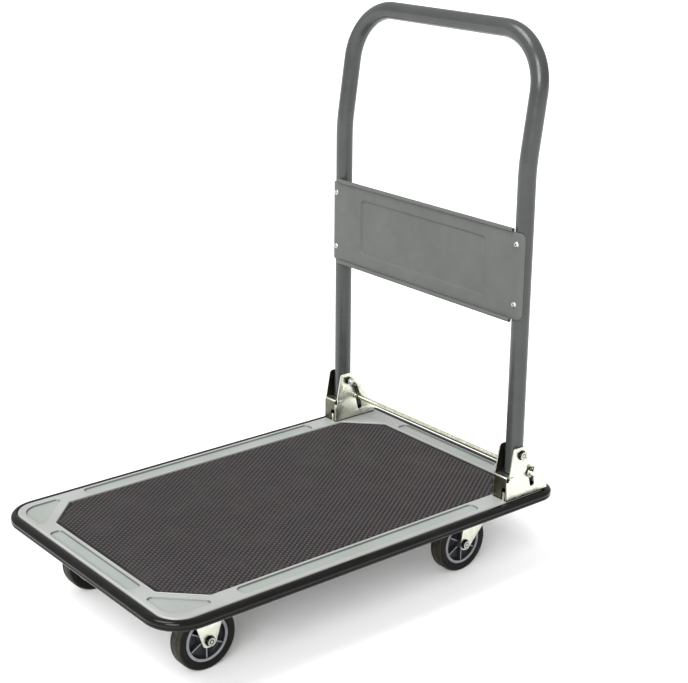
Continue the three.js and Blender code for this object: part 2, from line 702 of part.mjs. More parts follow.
// Split pin: a looped eye above the bar with one thick leg through it.
function splitPin(side) {
  const centre = new THREE.Vector3(side * PIN_X, BAR_Y, DECK_TOP + BAR_HEIGHT);
  const along = new THREE.Vector3(0, 1, 0);
  const up = new THREE.Vector3(0, 0, 1);
  const eyeRadius = 2.4;
  const neckTop = BAR_RADIUS + eyeRadius;
  const legEnd = BAR_RADIUS + 5;
  const degrees = THREE.MathUtils.degToRad;
  const eyeCentre = centre.clone().addScaledVector(up, neckTop + 1.4);
  const eye = arcPoints(eyeCentre, eyeRadius, along, up, degrees(-60), degrees(240), 10);
  const span = [centre.z - legEnd, centre.z + neckTop];
  const leg = rod('z', 2 * PIN_WIRE, [centre.x, centre.y], span, SMALL_STEPS);
  return union(sweep(disc(PIN_WIRE), eye, 6), leg);
}

// Extension spring: a loop around the lock bar, a close coil, and a hook into the cheek's hole.
function returnSpring(side) {
  const loopRadius = BAR_RADIUS + SPRING_WIRE + GAP;
  const x = side * SPRING_X;
  const bar = new THREE.Vector3(x, BAR_Y, DECK_TOP + BAR_HEIGHT);
  const hookStart = new THREE.Vector3(x, HOOK.y, DECK_TOP + HOOK.z);
  const outward = new THREE.Vector3(side, 0, 0);
  const up = hookStart.clone().sub(bar).normalize();
  const along = up.clone().cross(new THREE.Vector3(1, 0, 0));
  const degrees = THREE.MathUtils.degToRad;
  const loop = arcPoints(bar, loopRadius, along, up, degrees(110), degrees(400), 9);
  const bend = 1.2; // run between the coil and each of its ends
  const coilLow = loopRadius + bend;
  const coilHigh = bar.distanceTo(hookStart) - 2 * bend;
  const perTurn = 8;
  const steps = SPRING_TURNS * perTurn;
  const coil = Array.from({ length: steps + 1 }, (_, i) => {
    const angle = (2 * Math.PI * i) / perTurn;
    return bar.clone()
      .addScaledVector(up, coilLow + ((coilHigh - coilLow) * i) / steps)
      .addScaledVector(along, SPRING_COIL * Math.cos(angle))
      .addScaledVector(outward, -SPRING_COIL * Math.sin(angle));
  });
  const rise = hookStart.clone().addScaledVector(along, bend).addScaledVector(up, -bend);
  const hookReach = TUBE_X - BRACKET_HALF_WIDTH + BRACKET_SHEET + 1 - SPRING_X;
  const hookEnd = hookStart.clone().addScaledVector(outward, hookReach);
  return sweep(disc(SPRING_WIRE), [...loop, ...coil, rise, hookStart, hookEnd], 4);
}

// ---- casters -----------------------------------------------------------------------------------
const AXLE_Z = WHEEL_RADIUS;
const LEG_FACE = FORK_GAP + FORK_SHEET;

function forkLegs(side, outline) {
  const centre = side * WHEEL_X;
  return [
    prism('x', outline, [centre - LEG_FACE, centre - FORK_GAP], 6),
    prism('x', outline, [centre + FORK_GAP, centre + LEG_FACE], 6),
  ];
}

function axleHole(side, y) {
  const centre = side * WHEEL_X;
  const across = [centre - LEG_FACE - 1, centre + LEG_FACE + 1];
  return rod('x', BOLT_RADIUS + HOLE_CLEARANCE, [y, AXLE_Z], across);
}

// Fixed fork: mounting plate and two tapering legs pressed from one sheet.
function fixedFork(side) {
  const [halfX, halfY] = PLATE_HALF;
  const plateBottom = PLATE_TOP - PLATE_THICK;
  const plateOutline = roundedRectangle(halfX, halfY, PLATE_ROUND, [side * WHEEL_X, FIXED_Y]);
  const plate = prism('z', plateOutline, [plateBottom, PLATE_TOP]);
  const legOutline = roundedOutline([
    [FIXED_Y - 37, PLATE_TOP - 1, 0],
    [FIXED_Y - 37, plateBottom - 3, 6],
    [FIXED_Y - 9.5, AXLE_Z - 10.5, 8.6],
    [FIXED_Y + 9.5, AXLE_Z - 10.5, 8.6],
    [FIXED_Y + 37, plateBottom - 3, 6],
    [FIXED_Y + 37, PLATE_TOP - 1, 0],
  ]);
  return cut(union(plate, ...forkLegs(side, legOutline)), axleHole(side, FIXED_Y));
}

const BEARING_TOP = PLATE_TOP - PLATE_THICK - GAP;
const CROWN_TOP = BEARING_TOP - BEARING_THICK - GAP;

function swivelPlate(side) {
  const [halfX, halfY] = PLATE_HALF;
  const centre = [side * WHEEL_X, KINGPIN_Y];
  const plateOutline = roundedRectangle(halfX, halfY, PLATE_ROUND, centre);
  const plate = prism('z', plateOutline, [PLATE_TOP - PLATE_THICK, PLATE_TOP]);
  return cut(plate, rod('z', KINGPIN_HOLE, centre, [PLATE_TOP - PLATE_THICK - 1, PLATE_TOP + 1]));
}

function bearingRing(side) {
  const centre = [side * WHEEL_X, KINGPIN_Y];
  const ring = rod('z', BEARING_RADIUS, centre, [BEARING_TOP - BEARING_THICK, BEARING_TOP], FINE_STEPS);
  return cut(ring, rod('z', KINGPIN_HOLE, centre, [BEARING_TOP - BEARING_THICK - 1, BEARING_TOP + 1]));
}

// Swivel fork: round crown under the bearing, and two legs raked so the wheel trails the kingpin.
function swivelFork(side) {
  const crownBottom = CROWN_TOP - PLATE_THICK;
  const centre = [side * WHEEL_X, KINGPIN_Y];
  const crown = rod('z', CROWN_RADIUS, centre, [crownBottom, CROWN_TOP], FINE_STEPS);
  const legOutline = roundedOutline([
    [KINGPIN_Y - 26, CROWN_TOP - 0.5, 0],
    [KINGPIN_Y - 30, crownBottom - 6, 5],
    [SWIVEL_AXLE_Y - 9.6, AXLE_Z - 8.5, 8.4],
    [SWIVEL_AXLE_Y + 6.5, AXLE_Z - 12, 8.4],
    [KINGPIN_Y + 26, CROWN_TOP - 28, 9],
    [KINGPIN_Y + 23, CROWN_TOP - 0.5, 0],
  ]);
  const pinHole = rod('z', KINGPIN_HOLE, centre, [crownBottom - 1, CROWN_TOP + 1]);
  return cut(union(crown, ...forkLegs(side, legOutline)), axleHole(side, SWIVEL_AXLE_Y), pinHole);
}

function kingpin(side) {
  const centre = [side * WHEEL_X, KINGPIN_Y];
  const crownBottom = CROWN_TOP - PLATE_THICK;
  const pin = rod('z', KINGPIN_RADIUS, centre, [crownBottom - GAP - 5, PLATE_TOP - 0.2]);
  const head = rod('z', 10, centre, [crownBottom - GAP - 4, crownBottom - GAP], ROUND_STEPS);
  return union(pin, head);
}

// Wheel core: hub, thin disc, six ribs each side and the rim flange, turned about the axle.
function wheelCore(centreX, y) {
  const half = CORE_WIDTH / 2;
  const web = 2;
  const hubRadius = 10;
  const hubHalf = FORK_GAP - 0.6;
  const rimInner = RIM_RADIUS - 4.5;
  const body = turned([
    [0, -hubHalf], [hubRadius, -hubHalf], [hubRadius, -web], [rimInner, -web], [rimInner, -half],
    [RIM_RADIUS, -half], [RIM_RADIUS, half], [rimInner, half], [rimInner, web], [hubRadius, web],
    [hubRadius, hubHalf], [0, hubHalf],
  ], 24);
  const ribReach = rimInner + 1;
  const ribs = Array.from({ length: RIB_COUNT }, (_, i) => {
    const rib = box([-half + 2.5, half - 2.5], [-0.9, 0.9], [hubRadius - 1, ribReach]);
    return rib.rotate([(360 * i) / RIB_COUNT + 30, 0, 0]);
  });
  const bore = rod('x', BOLT_RADIUS + HOLE_CLEARANCE, [0, 0], [-hubHalf - 1, hubHalf + 1]);
  return cut(union(body, ...ribs), bore).translate([centreX, y, AXLE_Z]);
}

function tyre(centreX, y) {
  const half = TYRE_WIDTH / 2;
  const shoulder = 4;
  const rightHalf = [0, 1, 2].map((i) => {
    const angle = (Math.PI / 2) * (1 - i / 2);
    return [
      WHEEL_RADIUS - shoulder + shoulder * Math.sin(angle),
      half - shoulder + shoulder * Math.cos(angle),
    ];
  });
  const leftHalf = rightHalf.map(([r, x]) => [r, -x]).reverse();
  const outside = turned([[0, -half], ...leftHalf, ...rightHalf, [0, half]], 32);
  const hole = rod('x', RIM_RADIUS + GAP, [0, 0], [-half - 1, half + 1], 28);
  return cut(outside, hole).translate([centreX, y, AXLE_Z]);
}

// ---- assembly ----------------------------------------------------------------------------------
add('deck_pan', 'deckPaint', deckPan());
add('deck_mat', 'matRubber', deckMat());
add('edge_bumper', 'bumperVinyl', edgeBumper());
add('handle_tube', 'tubePaint', handleTube());
add('back_panel', 'tubePaint', backPanel());
add('lock_bar', 'yellowZinc', lockBar());

const pivot = [TUBE_Y, DECK_TOP + PIVOT_HEIGHT];
for (const [name, side] of SIDES) {
  add(`stiffener_${name}`, 'deckPaint', stiffener(side));
  add(`bracket_${name}`, 'zinc', bracket(side));
  add(`panel_rivet_low_${name}`, 'steel', panelRivet(side, RIVET_HEIGHTS[0]));
  add(`panel_rivet_high_${name}`, 'steel', panelRivet(side, RIVET_HEIGHTS[1]));
  const innerFace = TUBE_X - BRACKET_HALF_WIDTH;
  const outerFace = TUBE_X + BRACKET_HALF_WIDTH;
  add(`pivot_bolt_${name}`, 'steel', bolt(side, pivot, outerFace, innerFace - NUT_REACH));
  add(`pivot_nut_${name}`, 'steel', nut(side, pivot, innerFace));
  add(`lock_washer_${name}`, 'steel', lockWasher(side));
  add(`lock_pin_${name}`, 'steel', splitPin(side));
  add(`return_spring_${name}`, 'steel', returnSpring(side));
  add(`fixed_fork_${name}`, 'zinc', fixedFork(side));
  add(`swivel_plate_${name}`, 'zinc', swivelPlate(side));
  add(`swivel_bearing_${name}`, 'zinc', bearingRing(side));
  add(`swivel_fork_${name}`, 'zinc', swivelFork(side));
  add(`kingpin_${name}`, 'steel', kingpin(side));
  for (const [end, y] of [['front', FIXED_Y], ['rear', SWIVEL_AXLE_Y]]) {
    const axle = [y, AXLE_Z];
    const innerLeg = WHEEL_X - LEG_FACE;
    const outerLeg = WHEEL_X + LEG_FACE;
    add(`axle_bolt_${end}_${name}`, 'steel', bolt(side, axle, outerLeg, innerLeg - NUT_REACH));
    add(`axle_nut_${end}_${name}`, 'steel', nut(side, axle, innerLeg));
    add(`wheel_core_${end}_${name}`, 'corePlastic', wheelCore(side * WHEEL_X, y));
    add(`tyre_${end}_${name}`, 'tyreRubber', tyre(side * WHEEL_X, y));
  }
}

export default group;
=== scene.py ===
"""Looks of the folding platform cart: detailed pieces and procedural materials around the CAD frame."""
import json
import math

import bmesh
import bpy
from mathutils import Matrix, Vector
from mathutils.geometry import tessellate_polygon

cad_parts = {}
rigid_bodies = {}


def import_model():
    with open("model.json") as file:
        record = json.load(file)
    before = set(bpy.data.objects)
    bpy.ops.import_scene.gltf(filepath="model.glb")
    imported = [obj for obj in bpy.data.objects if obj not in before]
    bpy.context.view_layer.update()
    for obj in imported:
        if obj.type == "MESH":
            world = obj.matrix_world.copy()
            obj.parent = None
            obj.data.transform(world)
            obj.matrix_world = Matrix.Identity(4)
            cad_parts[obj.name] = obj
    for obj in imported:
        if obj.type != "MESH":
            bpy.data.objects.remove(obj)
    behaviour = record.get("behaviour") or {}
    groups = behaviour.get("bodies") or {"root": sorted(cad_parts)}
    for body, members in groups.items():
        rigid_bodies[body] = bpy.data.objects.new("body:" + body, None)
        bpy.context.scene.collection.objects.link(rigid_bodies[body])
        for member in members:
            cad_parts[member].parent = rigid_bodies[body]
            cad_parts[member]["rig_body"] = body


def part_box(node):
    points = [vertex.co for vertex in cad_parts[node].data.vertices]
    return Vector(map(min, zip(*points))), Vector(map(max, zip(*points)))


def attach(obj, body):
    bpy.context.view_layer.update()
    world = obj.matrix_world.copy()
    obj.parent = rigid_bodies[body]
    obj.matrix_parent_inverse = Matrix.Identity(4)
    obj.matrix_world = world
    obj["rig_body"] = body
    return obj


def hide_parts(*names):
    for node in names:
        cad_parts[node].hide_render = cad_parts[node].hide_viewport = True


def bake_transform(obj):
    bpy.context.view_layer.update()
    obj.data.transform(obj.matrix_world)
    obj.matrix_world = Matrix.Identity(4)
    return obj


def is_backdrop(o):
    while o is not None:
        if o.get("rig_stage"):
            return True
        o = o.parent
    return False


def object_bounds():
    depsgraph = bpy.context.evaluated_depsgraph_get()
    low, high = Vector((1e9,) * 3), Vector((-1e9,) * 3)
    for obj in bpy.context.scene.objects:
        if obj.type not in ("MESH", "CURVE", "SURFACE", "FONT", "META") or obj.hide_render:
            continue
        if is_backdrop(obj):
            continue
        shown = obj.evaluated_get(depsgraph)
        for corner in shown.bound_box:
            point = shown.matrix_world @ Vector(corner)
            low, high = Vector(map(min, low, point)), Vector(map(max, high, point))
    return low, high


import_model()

CAD_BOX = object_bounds()
MM = 0.001  # sizes below are in millimetres, in the row frame; a piece is scaled to metres as it is made
SIDES = (("left", -1), ("right", 1))


def box_mm(node):
    low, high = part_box(node)
    return low / MM, high / MM


def middle_mm(node):
    """Centre and half size of a node's box."""
    low, high = box_mm(node)
    return (low + high) / 2, (high - low) / 2


# ---- driving dimensions, read from the frame where a box gives them ----------------------------
PAN_LOW, PAN_HIGH = box_mm("deck_pan")
DECK_TOP = PAN_HIGH.z
SKIRT_FOOT = PAN_LOW.z
DECK_HALF_WIDTH = PAN_HIGH.x
DECK_HALF_LENGTH = PAN_HIGH.y
DECK_CORNERS = (36, 24)  # plan radii of the front and rear corners
SHEET = 1.5
EDGE_ROLL = 3.2  # radius of the rolled outer edge
FLAT_MARGIN = 1.5  # flat strip kept beside each fillet, so that large flat faces shade flat

MAT_LOW, MAT_HIGH = box_mm("deck_mat")
MAT_CLIP = 53
STUD_HEIGHT = 0.9
STUD_PITCH = 7.96  # along X
STUD_ROW = 5.95  # from row to row along Y; neighbouring rows are shifted by half a pitch
STUD_FOOT = 3.35
STUD_CROWN = 2.0

RECESS_DEPTH = 2.5
SIDE_RECESS_X = (197.5, 219)
SIDE_RECESS_Y = (-233, 212)
END_RECESS_HALF_LENGTH = 113
END_RECESS_Y = (331, 350)
CORNER_RECESS = (212, 346)  # its outer sides, from the centre lines
CORNER_RECESS_LEG = 73.5
CORNER_RECESS_ROUND = (28, 6)  # outer corner, then the two sharp ones
BUMPER_LOW, BUMPER_HIGH = box_mm("edge_bumper")
BUMPER_CORNERS = (58, 37)
BUMPER_REACH = 13.5  # how far out from the rim the section reaches
TRAY_CLEARANCE = 1.2  # between the mat and the tray's wall
TRAY_LIP = 1.5  # rolled edge of the rim around the tray
TRAY_LIP_RISE = 0.5

TUBE_RADIUS = 14
TUBE_WALL = 1.6
TUBE_BORE_DEPTH = 30  # how far up the open feet are drawn hollow
TUBE_LOW, TUBE_HIGH = box_mm("handle_tube")
TUBE_X = TUBE_HIGH.x - TUBE_RADIUS
TUBE_Y = TUBE_LOW.y + TUBE_RADIUS
LEAN = math.radians(8.5)
LEAN_START = 657
LEAN_BEND_RADIUS = 300
TOP_BAR = 848.3
HOOP_CORNER = 85

PANEL_SHEET = 1.2
PANEL_FRONT = TUBE_Y - TUBE_RADIUS - 0.3 - PANEL_SHEET
PANEL_EDGE_LOW = 426.5
PANEL_EDGE_HIGH = 561
PANEL_WRAP = math.radians(52)
PANEL_CORNER = 9
PANEL_DIP_HALF_LENGTH = 148
PANEL_DIP_Z = (448, 541)
PANEL_DIP_DEPTH = 2.4
HEM_RADIUS = 3.2
HEM_SHEET = 1.1
HEM_HALF_LENGTH = 206

BRACKET_SHEET = 2
BRACKET_HALF_WIDTH = 16.4
BRACKET_BEND = 3.2
WEB_TOP = DECK_TOP + 39.5
CHEEK_TOP = (272, 294)  # the flat upper edge of a cheek, along Y
CHEEK_KNEE = (312, 67)  # where its rear edge turns, along Y and above the deck
LUG_Y = (263, 272)
LUG_Z = (DECK_TOP + 35, WEB_TOP)
FOOT_GAP = 1.8  # gap under the folded sheet, filled by a slab painted as shadow
PIVOT = (TUBE_Y, DECK_TOP + 72)
BAR_MIDDLE, BAR_HALF = middle_mm("lock_bar")
BAR = (BAR_MIDDLE.y, BAR_MIDDLE.z)
SLOT_TILT = math.radians(14.5)  # the slot runs down and backward
SLOT_HALF_WIDTH = 4.7
BAR_TRAVEL = 22
HOOK = (298.5, DECK_TOP + 65)  # spring hole in the cheek
BAR_RADIUS = 4
SPRING_WIRE = 0.6
SPRING_COIL = 3
SPRING_TURNS = 11

TYRE_HALF = middle_mm("tyre_front_right")[1]
WHEEL_RADIUS = TYRE_HALF.z
RIM_RADIUS = 35
CORE_WIDTH = 22
RIB_COUNT = 6
AXLE_Z = WHEEL_RADIUS
FORK_GAP = 15
FORK_SHEET = 2.2
BOLT_RADIUS = 4
HEX = 13  # across the flats
HEAD_HEIGHT = 5.3
NUT_HEIGHT = 6.4
BOLT_OVERHANG = 8.7  # from the sheet to the tip of a bolt
WASHER_RADIUS = 8.2
PLATE_HALF = (32, 46)  # caster plates, along X and Y
PLATE_BOLTS = (24.2, 38.4)
PIN_BORE = 6.6  # radius of the hole around a kingpin


# ---- shape building ----------------------------------------------------------------------------
class Shape:
    """Vertices and faces of one piece, in millimetres. A mark is the index of a face's material."""

    def __init__(self):
        self.verts = []
        self.faces = []
        self.marks = []

    def add(self, verts, faces, mark=0):
        start = len(self.verts)
        self.verts += [tuple(v) for v in verts]
        self.faces += [tuple(start + i for i in face) for face in faces]
        self.marks += [mark] * len(faces)

    def loft(self, rings, closed=True, wrap=False, caps=False, mark=0):
        """Quads between neighbouring rings of equal length."""
        count = len(rings[0])
        faces = []
        for i in range(len(rings) if wrap else len(rings) - 1):
            here = i * count
            there = (i + 1) % len(rings) * count
            for j in range(count if closed else count - 1):
                k = (j + 1) % count
                faces.append((here + j, here + k, there + k, there + j))
        self.add([point for ring in rings for point in ring], faces, mark)
        if caps:
            self.cap(rings[0], mark)
            self.cap(rings[-1], mark)

    def cap(self, ring, mark=0):
        self.add(ring, [tuple(range(len(ring)))], mark)

    def fill(self, loops, place, mark=0):
        """A face inside the first loop and outside the others. place(u, v) gives a point of it."""
        flat = [[Vector((u, v, 0)) for u, v in loop] for loop in loops]
        self.add([place(u, v) for loop in loops for u, v in loop], tessellate_polygon(flat), mark)

    def level(self, loops, z, mark=0):
        """A flat face at one height, inside the first loop and outside the others."""
        self.fill(loops, lambda x, y: (x, y, z), mark)

    def turned(self, profile, centre, axis="x", segments=48, mark=0):
        """Solid of revolution from [radius, distance along the axis] points."""
        rings = []
        for i in range(segments):
            angle = 2 * math.pi * i / segments
            rings.append([about(axis, centre, radius, angle, along) for radius, along in profile])
        self.loft(rings, closed=False, wrap=True, mark=mark)

    def tube(self, points, radius, sides=10, caps=True, mark=0):
        """A round wire or tube along a line of points."""
        self.loft(tube_rings(points, radius, sides), caps=caps, mark=mark)

    def piece(self, name, body, slot, looks, node=None, thicken=0, bevel=0, sharp=35, back=0):
        """Makes the object, in metres, riding on its body, in place of a CAD node where one is named.

        back steps the looks of a thickened sheet's far side.
        """
        mesh = bpy.data.meshes.new(name)
        mesh.from_pydata([tuple(c * MM for c in v) for v in self.verts], [], self.faces)
        mesh.polygons.foreach_set("material_index", self.marks)
        edit = bmesh.new()
        edit.from_mesh(mesh)
        bmesh.ops.remove_doubles(edit, verts=edit.verts, dist=0.004 * MM)
        bmesh.ops.recalc_face_normals(edit, faces=edit.faces)
        if back and facing(edit) < 0:
            bmesh.ops.reverse_faces(edit, faces=edit.faces)
        edit.to_mesh(mesh)
        edit.free()
        for look in looks if isinstance(looks, (list, tuple)) else [looks]:
            mesh.materials.append(look)
        piece = new_object(name, mesh)
        if thicken:
            modify(piece, "SOLIDIFY", thickness=thicken * MM, offset=-1, material_offset=back)
        if bevel:
            limit = math.radians(40)
            modify(piece, "BEVEL", width=bevel * MM, segments=2, limit_method="ANGLE", angle_limit=limit)
        if thicken or bevel:
            bake_modifiers(piece)
        piece.data.shade_smooth()
        piece.data.set_sharp_from_angle(angle=math.radians(sharp))
        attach(piece, body)
        if node:
            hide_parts(node)
        return piece


def facing(edit):
    """Positive where most of an open sheet's faces look away from its middle."""
    middle = sum((v.co for v in edit.verts), Vector()) / len(edit.verts)
    return sum(f.calc_area() * f.normal.dot(f.calc_center_median() - middle) for f in edit.faces)


def new_object(name, data):
    made = bpy.data.objects.new(name, data)
    bpy.context.scene.collection.objects.link(made)
    return made


def modify(piece, kind, **settings):
    modifier = piece.modifiers.new(kind, kind)
    for key, value in settings.items():
        setattr(modifier, key, value)


def bake_modifiers(piece):
    bpy.context.view_layer.update()
    evaluated = piece.evaluated_get(bpy.context.evaluated_depsgraph_get())
    piece.data = bpy.data.meshes.new_from_object(evaluated)
    piece.modifiers.clear()


def turned_piece(name, body, slot, look, profile, centre, axis="z", segments=56, node=None, sharp=35):
    """A piece that is one solid of revolution."""
    shape = Shape()
    shape.turned(profile, centre, axis, segments)
    shape.piece(name, body, slot, look, node, sharp=sharp)


def about(axis, centre, radius, angle, along):
    """A point around an axis through a centre."""
    c = radius * math.cos(angle)
    s = radius * math.sin(angle)
    offset = {"x": (along, c, s), "y": (s, along, c), "z": (c, s, along)}[axis]
    return (centre[0] + offset[0], centre[1] + offset[1], centre[2] + offset[2])


def tube_rings(points, radius, sides):
    """Circles of points around a line of points, without twist from one to the next."""
    points = [Vector(p) for p in points]
    rings = []
    for i, point in enumerate(points):
        after = points[min(i + 1, len(points) - 1)]
        tangent = (after - points[max(i - 1, 0)]).normalized()
        if not rings:
            side = tangent.cross(Vector((1, 0, 0)) if abs(tangent.x) < 0.7 else Vector((0, 1, 0)))
        side = (side - tangent * side.dot(tangent)).normalized()
        other = tangent.cross(side)
        angles = [2 * math.pi * k / sides for k in range(sides)]
        rings.append([point + side * radius * math.cos(a) + other * radius * math.sin(a) for a in angles])
    return rings


def arc(centre, radius, start, end, steps):
    """Points of an arc in a plane; the angles are in degrees."""
    angles = [math.radians(start + (end - start) * i / steps) for i in range(steps + 1)]
    return [(centre[0] + radius * math.cos(a), centre[1] + radius * math.sin(a)) for a in angles]


def rounded(corners, steps=6):
    """Closed outline through (x, y, radius) corners."""
    outline = []
    for i, (x, y, radius) in enumerate(corners):
        here = Vector((x, y))
        before = (Vector(corners[i - 1][:2]) - here).normalized()
        after = (Vector(corners[(i + 1) % len(corners)][:2]) - here).normalized()
        half = before.angle(after) / 2
        centre = here + (before + after).normalized() * (radius / math.sin(half))
        start = here + before * (radius / math.tan(half)) - centre
        end = here + after * (radius / math.tan(half)) - centre
        first = math.atan2(start.y, start.x)
        turn = (math.atan2(end.y, end.x) - first + math.pi) % (2 * math.pi) - math.pi
        for k in range(steps + 1 if radius else 1):
            angle = first + turn * k / steps
            outline.append((centre.x + radius * math.cos(angle), centre.y + radius * math.sin(angle)))
    return outline


def rounded_rectangle(half_x, half_y, radius, centre=(0, 0), steps=6):
    signs = ((-1, -1), (1, -1), (1, 1), (-1, 1))
    return rounded([(centre[0] + sx * half_x, centre[1] + sy * half_y, radius) for sx, sy in signs], steps)


def at_height(outline, z):
    return [(x, y, z) for x, y in outline]


# ---- materials ---------------------------------------------------------------------------------
def srgb(*display):
    """Linear colour from three 0-255 display values."""
    shares = [value / 255 for value in display]
    return (*(v / 12.92 if v <= 0.04045 else ((v + 0.055) / 1.055) ** 2.4 for v in shares), 1)


class Look:
    """A Principled material built up from noise in the row frame's own metres."""

    def __init__(self, name, metallic=0.0, specular=0.5, coat=0.0, coat_roughness=0.1):
        self.material = bpy.data.materials.new(name)
        self.material.use_nodes = True
        self.tree = self.material.node_tree
        self.shader = self.tree.nodes["Principled BSDF"]
        self.feed(self.shader, {
            "Metallic": metallic, "Specular IOR Level": specular,
            "Coat Weight": coat, "Coat Roughness": coat_roughness,
        })
        self.place = self.node("ShaderNodeTexCoord", {}).outputs["Object"]

    def feed(self, node, values):
        """Sets inputs of a node to constants, or wires them to the outputs of other nodes."""
        for key, value in values.items():
            if isinstance(value, bpy.types.NodeSocket):
                self.tree.links.new(value, node.inputs[key])
            else:
                node.inputs[key].default_value = value

    def node(self, kind, values, **settings):
        made = self.tree.nodes.new(kind)
        for key, value in settings.items():
            setattr(made, key, value)
        self.feed(made, values)
        return made

    def noise(self, size, detail=3.0, roughness=0.5, stretch=None):
        """Noise whose features are about size millimetres across."""
        place = self.place
        if stretch:
            place = self.node("ShaderNodeMapping", {"Vector": place, "Scale": stretch}).outputs["Vector"]
        values = {"Vector": place, "Scale": 1 / (size * MM), "Detail": detail, "Roughness": roughness}
        return self.node("ShaderNodeTexNoise", values).outputs["Fac"]

    def remap(self, value, low, high, out_low=0.0, out_high=1.0):
        values = {"Value": value, "From Min": low, "From Max": high, "To Min": out_low, "To Max": out_high}
        return self.node("ShaderNodeMapRange", values).outputs["Result"]

    def uneven(self, size, detail, low, high):
        """A roughness that wanders between two values."""
        return self.remap(self.noise(size, detail), 0.3, 0.7, low, high)

    def height_between(self, low, high):
        """0 at one height of the piece and 1 at another, both in millimetres."""
        split = self.node("ShaderNodeSeparateXYZ", {"Vector": self.place})
        return self.remap(split.outputs["Z"], low * MM, high * MM)

    def blend(self, factor, first, second):
        """Mixes two colours, each a constant or a socket. 6 and 7 are the mix node's colour inputs."""
        mix = self.node("ShaderNodeMix", {0: factor, 6: first, 7: second}, data_type="RGBA")
        return mix.outputs[2]

    def cloudy(self, size, detail, low, high):
        """Large soft patches of two close colours."""
        return self.blend(self.remap(self.noise(size, detail), 0.35, 0.65), low, high)

    def add(self, first, second):
        return self.node("ShaderNodeMath", {0: first, 1: second}, operation="ADD").outputs["Value"]

    def finish(self, colour, roughness, relief, depth):
        """Connects the sockets; depth is the height in millimetres of the relief's full range."""
        bump = self.node("ShaderNodeBump", {"Strength": 1.0, "Distance": depth * MM, "Height": relief})
        normal = bump.outputs["Normal"]
        self.feed(self.shader, {"Base Color": colour, "Roughness": roughness, "Normal": normal})
        return self.material


def deck_enamel(name, low, high, scuff):
    look = Look(name, specular=0.4, coat=0.1, coat_roughness=0.25)
    scuffs = look.remap(look.noise(6, 6, 0.7, stretch=(1, 0.15, 1)), 0.66, 0.78)
    colour = look.blend(scuffs, look.cloudy(90, 2, low, high), scuff)
    return look.finish(colour, look.uneven(30, 4, 0.3, 0.42), look.noise(1.6, 2), 0.03)


def mat_rubber():
    look = Look("mat_rubber", specular=0.35)
    # near black low down, lighter on the stud tops: painted shade in the valleys between the studs, with
    # some dirt
    valley_shade_and_dirt = look.height_between(MAT_HIGH.z - STUD_HEIGHT, MAT_HIGH.z)
    colour = look.blend(valley_shade_and_dirt, srgb(8, 7, 7), srgb(56, 50, 51))
    dust = look.remap(look.noise(60, 4), 0.45, 0.75, 0.0, 0.35)
    colour = look.blend(dust, colour, srgb(55, 52, 51))
    return look.finish(colour, look.uneven(12, 3, 0.62, 0.8), look.noise(0.5), 0.05)


def bumper_vinyl():
    look = Look("bumper_vinyl", specular=0.16)
    dust = look.remap(look.noise(40, 5), 0.5, 0.75, 0.0, 0.5)
    colour = look.blend(dust, srgb(13, 13, 12), srgb(25, 24, 23))
    return look.finish(colour, look.uneven(9, 4, 0.1, 0.18), look.noise(2.5), 0.05)


def tube_paint(name, low, high, shine):
    """Paint with fine light specks; shine is the roughness of its glossiest patches."""
    look = Look(name, specular=0.4)
    specks = look.remap(look.noise(0.8, 1), 0.62, 0.8, 0.0, 0.3)
    colour = look.blend(specks, look.cloudy(70, 3, low, high), srgb(82, 85, 83))
    return look.finish(colour, look.uneven(14, 4, shine, shine + 0.14), look.noise(1.1, 2), 0.035 * shine)


def plated(name, bright, dull, shine, brushed=(1, 1, 0.12)):
    """Plated steel: cloudy patches, fine drawn lines and small dull specks."""
    look = Look(name, metallic=1.0)
    colour = look.blend(look.remap(look.noise(11, 4), 0.35, 0.7), bright, dull)
    specks = look.remap(look.noise(1.2, 3, 0.7), 0.68, 0.82, 0.0, 0.12)
    colour = look.blend(specks, colour, (*(0.55 * c for c in dull[:3]), 1))
    relief = look.add(look.noise(0.7, stretch=brushed), look.noise(3, 2))
    return look.finish(colour, look.uneven(5, 4, shine, shine + 0.16), relief, 0.0005)


def core_plastic(name, low, high):
    look = Look(name, specular=0.45)
    return look.finish(look.cloudy(14, 4, low, high), look.uneven(6, 3, 0.4, 0.55), look.noise(0.6, 2), 0.03)


def tyre_rubber(name, clean, dusty):
    look = Look(name, specular=0.17)
    colour = look.blend(look.remap(look.noise(8, 5, 0.65), 0.48, 0.75, 0.0, 0.6), clean, dusty)
    return look.finish(colour, look.uneven(5, 4, 0.45, 0.65), look.noise(0.9, 3, 0.6), 0.06)


# painted shade for the insides of holes, hollows and gaps, where little light reaches
def hole_shade():
    look = Look("painted_hole_shade", specular=0.2)
    colour = look.blend(look.noise(3, 2), srgb(8, 8, 8), srgb(20, 20, 19))
    return look.finish(colour, look.uneven(2, 2, 0.6, 0.9), look.noise(1, 1), 0.02)


DECK_ENAMEL = deck_enamel("deck_enamel", srgb(141, 143, 140), srgb(149, 151, 148), srgb(125, 128, 125))
RECESS_ENAMEL = deck_enamel("recess_enamel", srgb(133, 139, 134), srgb(140, 146, 141), srgb(118, 124, 120))
# the recess walls: the deck enamel darkened as painted shade
SHADED_WALL_ENAMEL = deck_enamel("shaded_wall_enamel", srgb(84, 88, 85), srgb(96, 100, 97), srgb(72, 76, 73))
MAT_RUBBER = mat_rubber()
BUMPER_VINYL = bumper_vinyl()
TUBE_PAINT = tube_paint("tube_paint", srgb(50, 53, 52), srgb(57, 60, 58), 0.16)
PANEL_PAINT = tube_paint("panel_paint", srgb(73, 75, 73), srgb(78, 81, 78), 0.46)
ZINC = plated("bright_zinc", srgb(220, 221, 208), srgb(198, 200, 186), 0.24)
